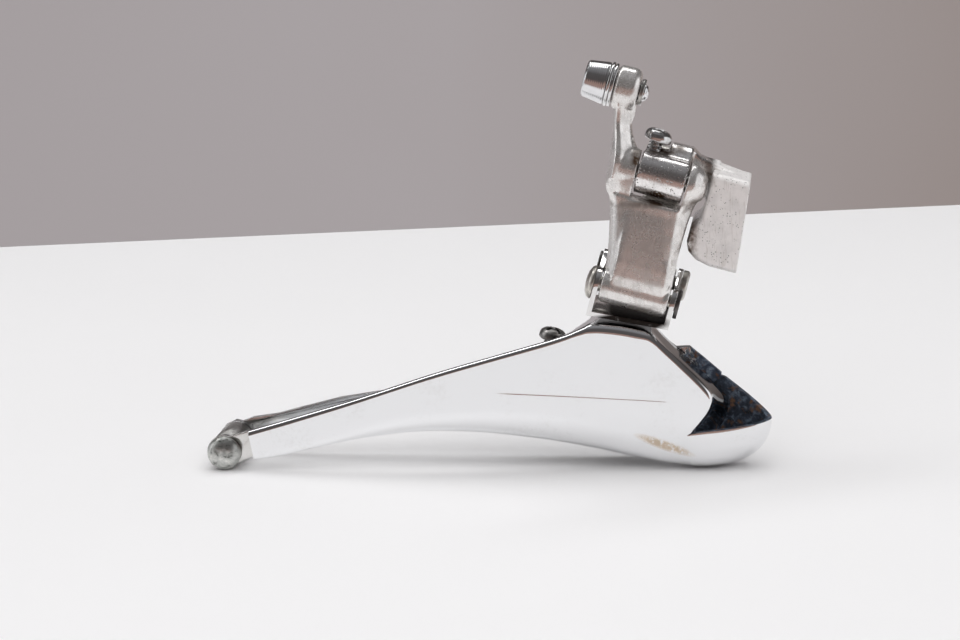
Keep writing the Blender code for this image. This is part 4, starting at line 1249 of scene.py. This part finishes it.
def build_linkage():
    raw_from = [link_spot(p, *OUTER_TOP).dot(P_AXIS) for p in (8.6, 9.8)]
    # Brown darkening in three corners of the mount casting.
    mount_dark_patches = ((link_spot(-1.5, 11.8, 4.8), (4.0, 3.0, 1.6)),
                   (link_spot(9.0, 10.5, 2.5), (1.6, 4.0, 2.6)),
                   (link_spot(8.3, 8.0, -10.5), (1.6, 6.0, 4.5)))
    mount_look = cast_aluminium("mount_aluminium", (0.9, 0.88, 0.87), (0.2, 0.32), 0.35, 0.5, mount_dark_patches,
                                raw_from=raw_from)
    dress(mount_body(), mount_look, "support", "cast_aluminium_mount", "mount_body")
    # Painted shade in the link's gaps: along its lower end, beside its left eye and on the notch floor under
    # the drum.
    link_gap_shade = ((link_spot(0.0, 6.0, -27.4), (9.0, 4.0, 1.8)), (link_spot(-6.0, 4.5, 2.6), (1.0, 4.0, 2.5)),
                  (link_spot(0.0, 6.4, -4.9), (8.5, 3.8, 0.8)))
    link_look = cast_aluminium("link_aluminium", (0.86, 0.84, 0.82), (0.2, 0.34), 0.45, 0.3, link_gap_shade, 0.84)
    dress(outer_link(), link_look, "outer_arm", "polished_aluminium_link", "outer_link")
    dress(inner_link(), cast_aluminium("inner_aluminium", (0.66, 0.64, 0.6), (0.34, 0.5), 0.6, 0.3),
          "inner_arm", "aluminium_inner_link", "inner_link")


def build_pins():
    """The four pivot pins, their retaining rings and the spring."""
    axis = tuple(P_AXIS)
    steel = turned_steel("pin_steel", (0.64, 0.62, 0.6), 0.24, axis, 0.01, 0.5)
    rivet = turned_steel("rivet_steel", (0.66, 0.63, 0.58), 0.26, axis, 0.0, 0.6)
    inner_rivet = turned_steel("inner_rivet_steel", (0.62, 0.6, 0.56), 0.28, axis, 0.0, 0.7)
    dark = turned_steel("clip_steel", (0.16, 0.15, 0.145), 0.34, axis, 0.0, 0.5)
    wire = turned_steel("spring_wire", (0.36, 0.34, 0.32), 0.34, axis, 0.0, 0.7)
    dress(pivot_pin("upper_outer_shaft", -10.3, 8.4, OUTER_TOP), steel,
          "support", "steel_pins", "upper_outer_pin")
    dress(pivot_pin("upper_inner_shaft", -4.6, 8.2, INNER_TOP), steel,
          "support", "steel_inner_pin", "upper_inner_pin")
    dress(pivot_pin("lower_outer_rivet", -8.1, 9.8, OUTER_LOW, (3.5, 1.7)), rivet,
          "cage", "steel_lower_outer_pin", "lower_outer_pin")
    dress(pivot_pin("lower_inner_rivet", -8.6, 9.0, INNER_LOW, None, (3.2, 1.5)), inner_rivet,
          "cage", "steel_lower_inner_pin", "lower_inner_pin")
    dress(ring_piece("outer_clip", link_spot(9.05, *OUTER_LOW), P_AXIS, 0.8, 1.6, 3.0), dark,
          "cage", "steel_lower_outer_clip", "lower_outer_clip")
    dress(ring_piece("inner_clip", link_spot(-8.65, *INNER_LOW), P_AXIS, 0.55, 1.6, 2.7), dark,
          "cage", "steel_lower_inner_clip", "lower_inner_clip")
    dress(spring_coil(), wire, "cage", "spring_steel", "return_spring")


def build_screws():
    """The two limit screws and the cable anchor with its washers and retaining ring."""
    high = turned_steel("high_screw_chrome", (0.74, 0.74, 0.74), 0.12, tuple(screw_axis()), 0.0, 0.45)
    dress(pan_screw("high_screw_body", link_spot(*HIGH_SCREW), screw_axis(), 2.85, 2.4, 1.5, 7.0), high,
          "high_screw", "chrome_high_screw", "high_limit_screw")
    low = turned_steel("low_screw_chrome", (0.34, 0.33, 0.32), 0.3, tuple(L_AXIS), 0.0, 1.0)
    dress(pan_screw("low_screw_body", spot(*LOW_SCREW), L_AXIS, 2.85, 2.4, 1.55, 5.0), low,
          "low_screw", "chrome_low_screw", "low_limit_screw")
    axis = tuple(P_AXIS)
    anchor = turned_steel("anchor_chrome", (0.8, 0.8, 0.81), 0.06, axis, 0.02, 0.1, 0.42)
    dress(cable_anchor_bolt(), anchor, "anchor", "chrome_cable_bolt", "cable_bolt")
    bright = turned_steel("washer_chrome", (0.8, 0.8, 0.8), 0.08, axis, 0.0, 0.2)
    ring = turned_steel("ring_steel", (0.5, 0.49, 0.47), 0.28, axis, 0.0, 0.5)
    for name, p, length, radius, look, slot, node in (
        ("cable_washer_ring", -15.68, 0.62, 4.55, bright, "chrome_cable_washer", "cable_washer"),
        ("clamp_washer_ring", -14.95, 0.62, 4.45, bright, "chrome_clamp_washer", "cable_clamp_washer"),
        ("bolt_ring", -9.0, 0.8, 2.7, ring, "steel_bolt_nut", "cable_bolt_nut"),
    ):
        made = ring_piece(name, link_spot(p, *ANCHOR), P_AXIS, length, 2.0, radius)
        dress(made, look, "outer_arm", slot, node)


# ---------------------------------------------------------------- stage, light and camera

def flat_piece(name, corners, look):
    made = mesh_object(name, corners, [list(range(len(corners)))])
    made.data.materials.append(look)
    return made


def build_stage():
    """Table whose back edge runs a little askew, with a wall behind it."""
    aim = spot(55.5, 0.0, 0.0)
    edge_start = Vector((-0.188, 0.232, 0.0))
    edge_along = (Vector((0.1148, 0.292, 0.0)) - edge_start).normalized()
    far_left = aim + edge_start - edge_along * 1.6
    far_right = aim + edge_start + edge_along * 1.9
    near_left = Vector((far_left.x, aim.y - TABLE_FRONT, aim.z))
    near_right = Vector((far_right.x, aim.y - TABLE_FRONT, aim.z))
    flat_piece("table_top", [far_left, far_right, near_right, near_left], table_look())
    wall = aim + Vector((0.0, 1.5, 0.0))
    corners = ((-2.6, 0.0, -1.4), (2.6, 0.3, -1.4), (2.6, 0.3, 0.35), (-2.6, 0.0, 0.35))
    flat_piece("backdrop", [wall + Vector(corner) for corner in corners], backdrop_look())


def build_room():
    """Dim room round the table: brown below eye height, dark above it, pale walls to the left and right."""
    world = bpy.data.worlds.new("room")
    bpy.context.scene.world = world
    world.use_nodes = True
    tree = world.node_tree
    coords = tree.nodes.new("ShaderNodeTexCoord")
    split = tree.nodes.new("ShaderNodeSeparateXYZ")
    tree.links.new(coords.outputs["Generated"], split.inputs[0])
    shares = []
    for part in ("X", "Z"):
        shift = tree.nodes.new("ShaderNodeMapRange")
        shift.inputs["From Min"].default_value = -1.0
        tree.links.new(split.outputs[part], shift.inputs["Value"])
        shares.append(shift.outputs["Result"])
    height = colour_ramp(tree, shares[1], [
        (0.0, (0.35, 0.25, 0.22)), (0.2, (0.34, 0.23, 0.2)), (0.515, (0.33, 0.22, 0.19)),
        (0.56, (0.08, 0.07, 0.068)), (0.86, (0.09, 0.085, 0.085)), (1.0, (0.24, 0.24, 0.25)),
    ])
    walls = colour_ramp(tree, shares[0], [
        (0.0, (0.62, 0.62, 0.64)), (0.05, (0.6, 0.6, 0.62)), (0.09, (0.0, 0.0, 0.0)), (0.9, (0.0, 0.0, 0.0)),
        (0.94, (0.95, 0.95, 0.97)), (1.0, (0.95, 0.95, 0.97)),
    ])
    both = tree.nodes.new("ShaderNodeMix")
    both.data_type = "RGBA"
    both.blend_type = "LIGHTEN"
    both.inputs["Factor"].default_value = 1.0
    tree.links.new(height, both.inputs[6])
    tree.links.new(walls, both.inputs[7])
    tree.links.new(both.outputs[2], tree.nodes["Background"].inputs["Color"])


def softbox(name, place, target, size, power):
    """Area light that faces a target; place, target and size in metres."""
    data = bpy.data.lights.new(name, "AREA")
    data.shape = "RECTANGLE"
    data.size, data.size_y = size
    data.energy = power
    made = new_object(name, data)
    made.location = place
    made.rotation_euler = (Vector(target) - Vector(place)).to_track_quat("-Z", "Y").to_euler()
    return made


def build_light():
    """Narrow softbox above and behind, a weak one at the left, and a wide fill that mirrors don't show."""
    build_room()
    aim = spot(60.0, 0.0, 20.0)
    softbox("overhead", aim + Vector((-0.2, 0.4, 1.0)), aim, (1.3, 0.2), 3.6)
    softbox("window_left", aim + Vector((-1.1, -0.15, 0.6)), aim, (0.5, 0.7), 1.6)
    fill = softbox("fill", aim + Vector((0.1, -0.35, 1.0)), aim, (2.0, 1.7), 14.5)
    fill.visible_glossy = False


def main_camera():
    """Camera at the photographed angle: a long lens close to table height."""
    back = Vector((0.14373, -0.96169, 0.23345))
    up = Vector((0.00003, 0.23591, 0.97178))
    right = up.cross(back)
    data = bpy.data.cameras.new("camera")
    data.lens = 85.0
    data.sensor_width = 36.0
    data.clip_start = 0.02
    data.clip_end = 20.0
    made = new_object("camera", data)
    aim = spot(55.5, 0.0, 32.5)
    turn = Matrix((right, up, back)).transposed().to_4x4()
    made.matrix_world = Matrix.Translation(aim + back * 462.7 * MM) @ turn
    bpy.context.scene.camera = made
    return made


build_cage()
build_linkage()
build_pins()
build_screws()
build_stage()
build_light()
main_camera()
bpy.context.scene.view_settings.view_transform = "Standard"
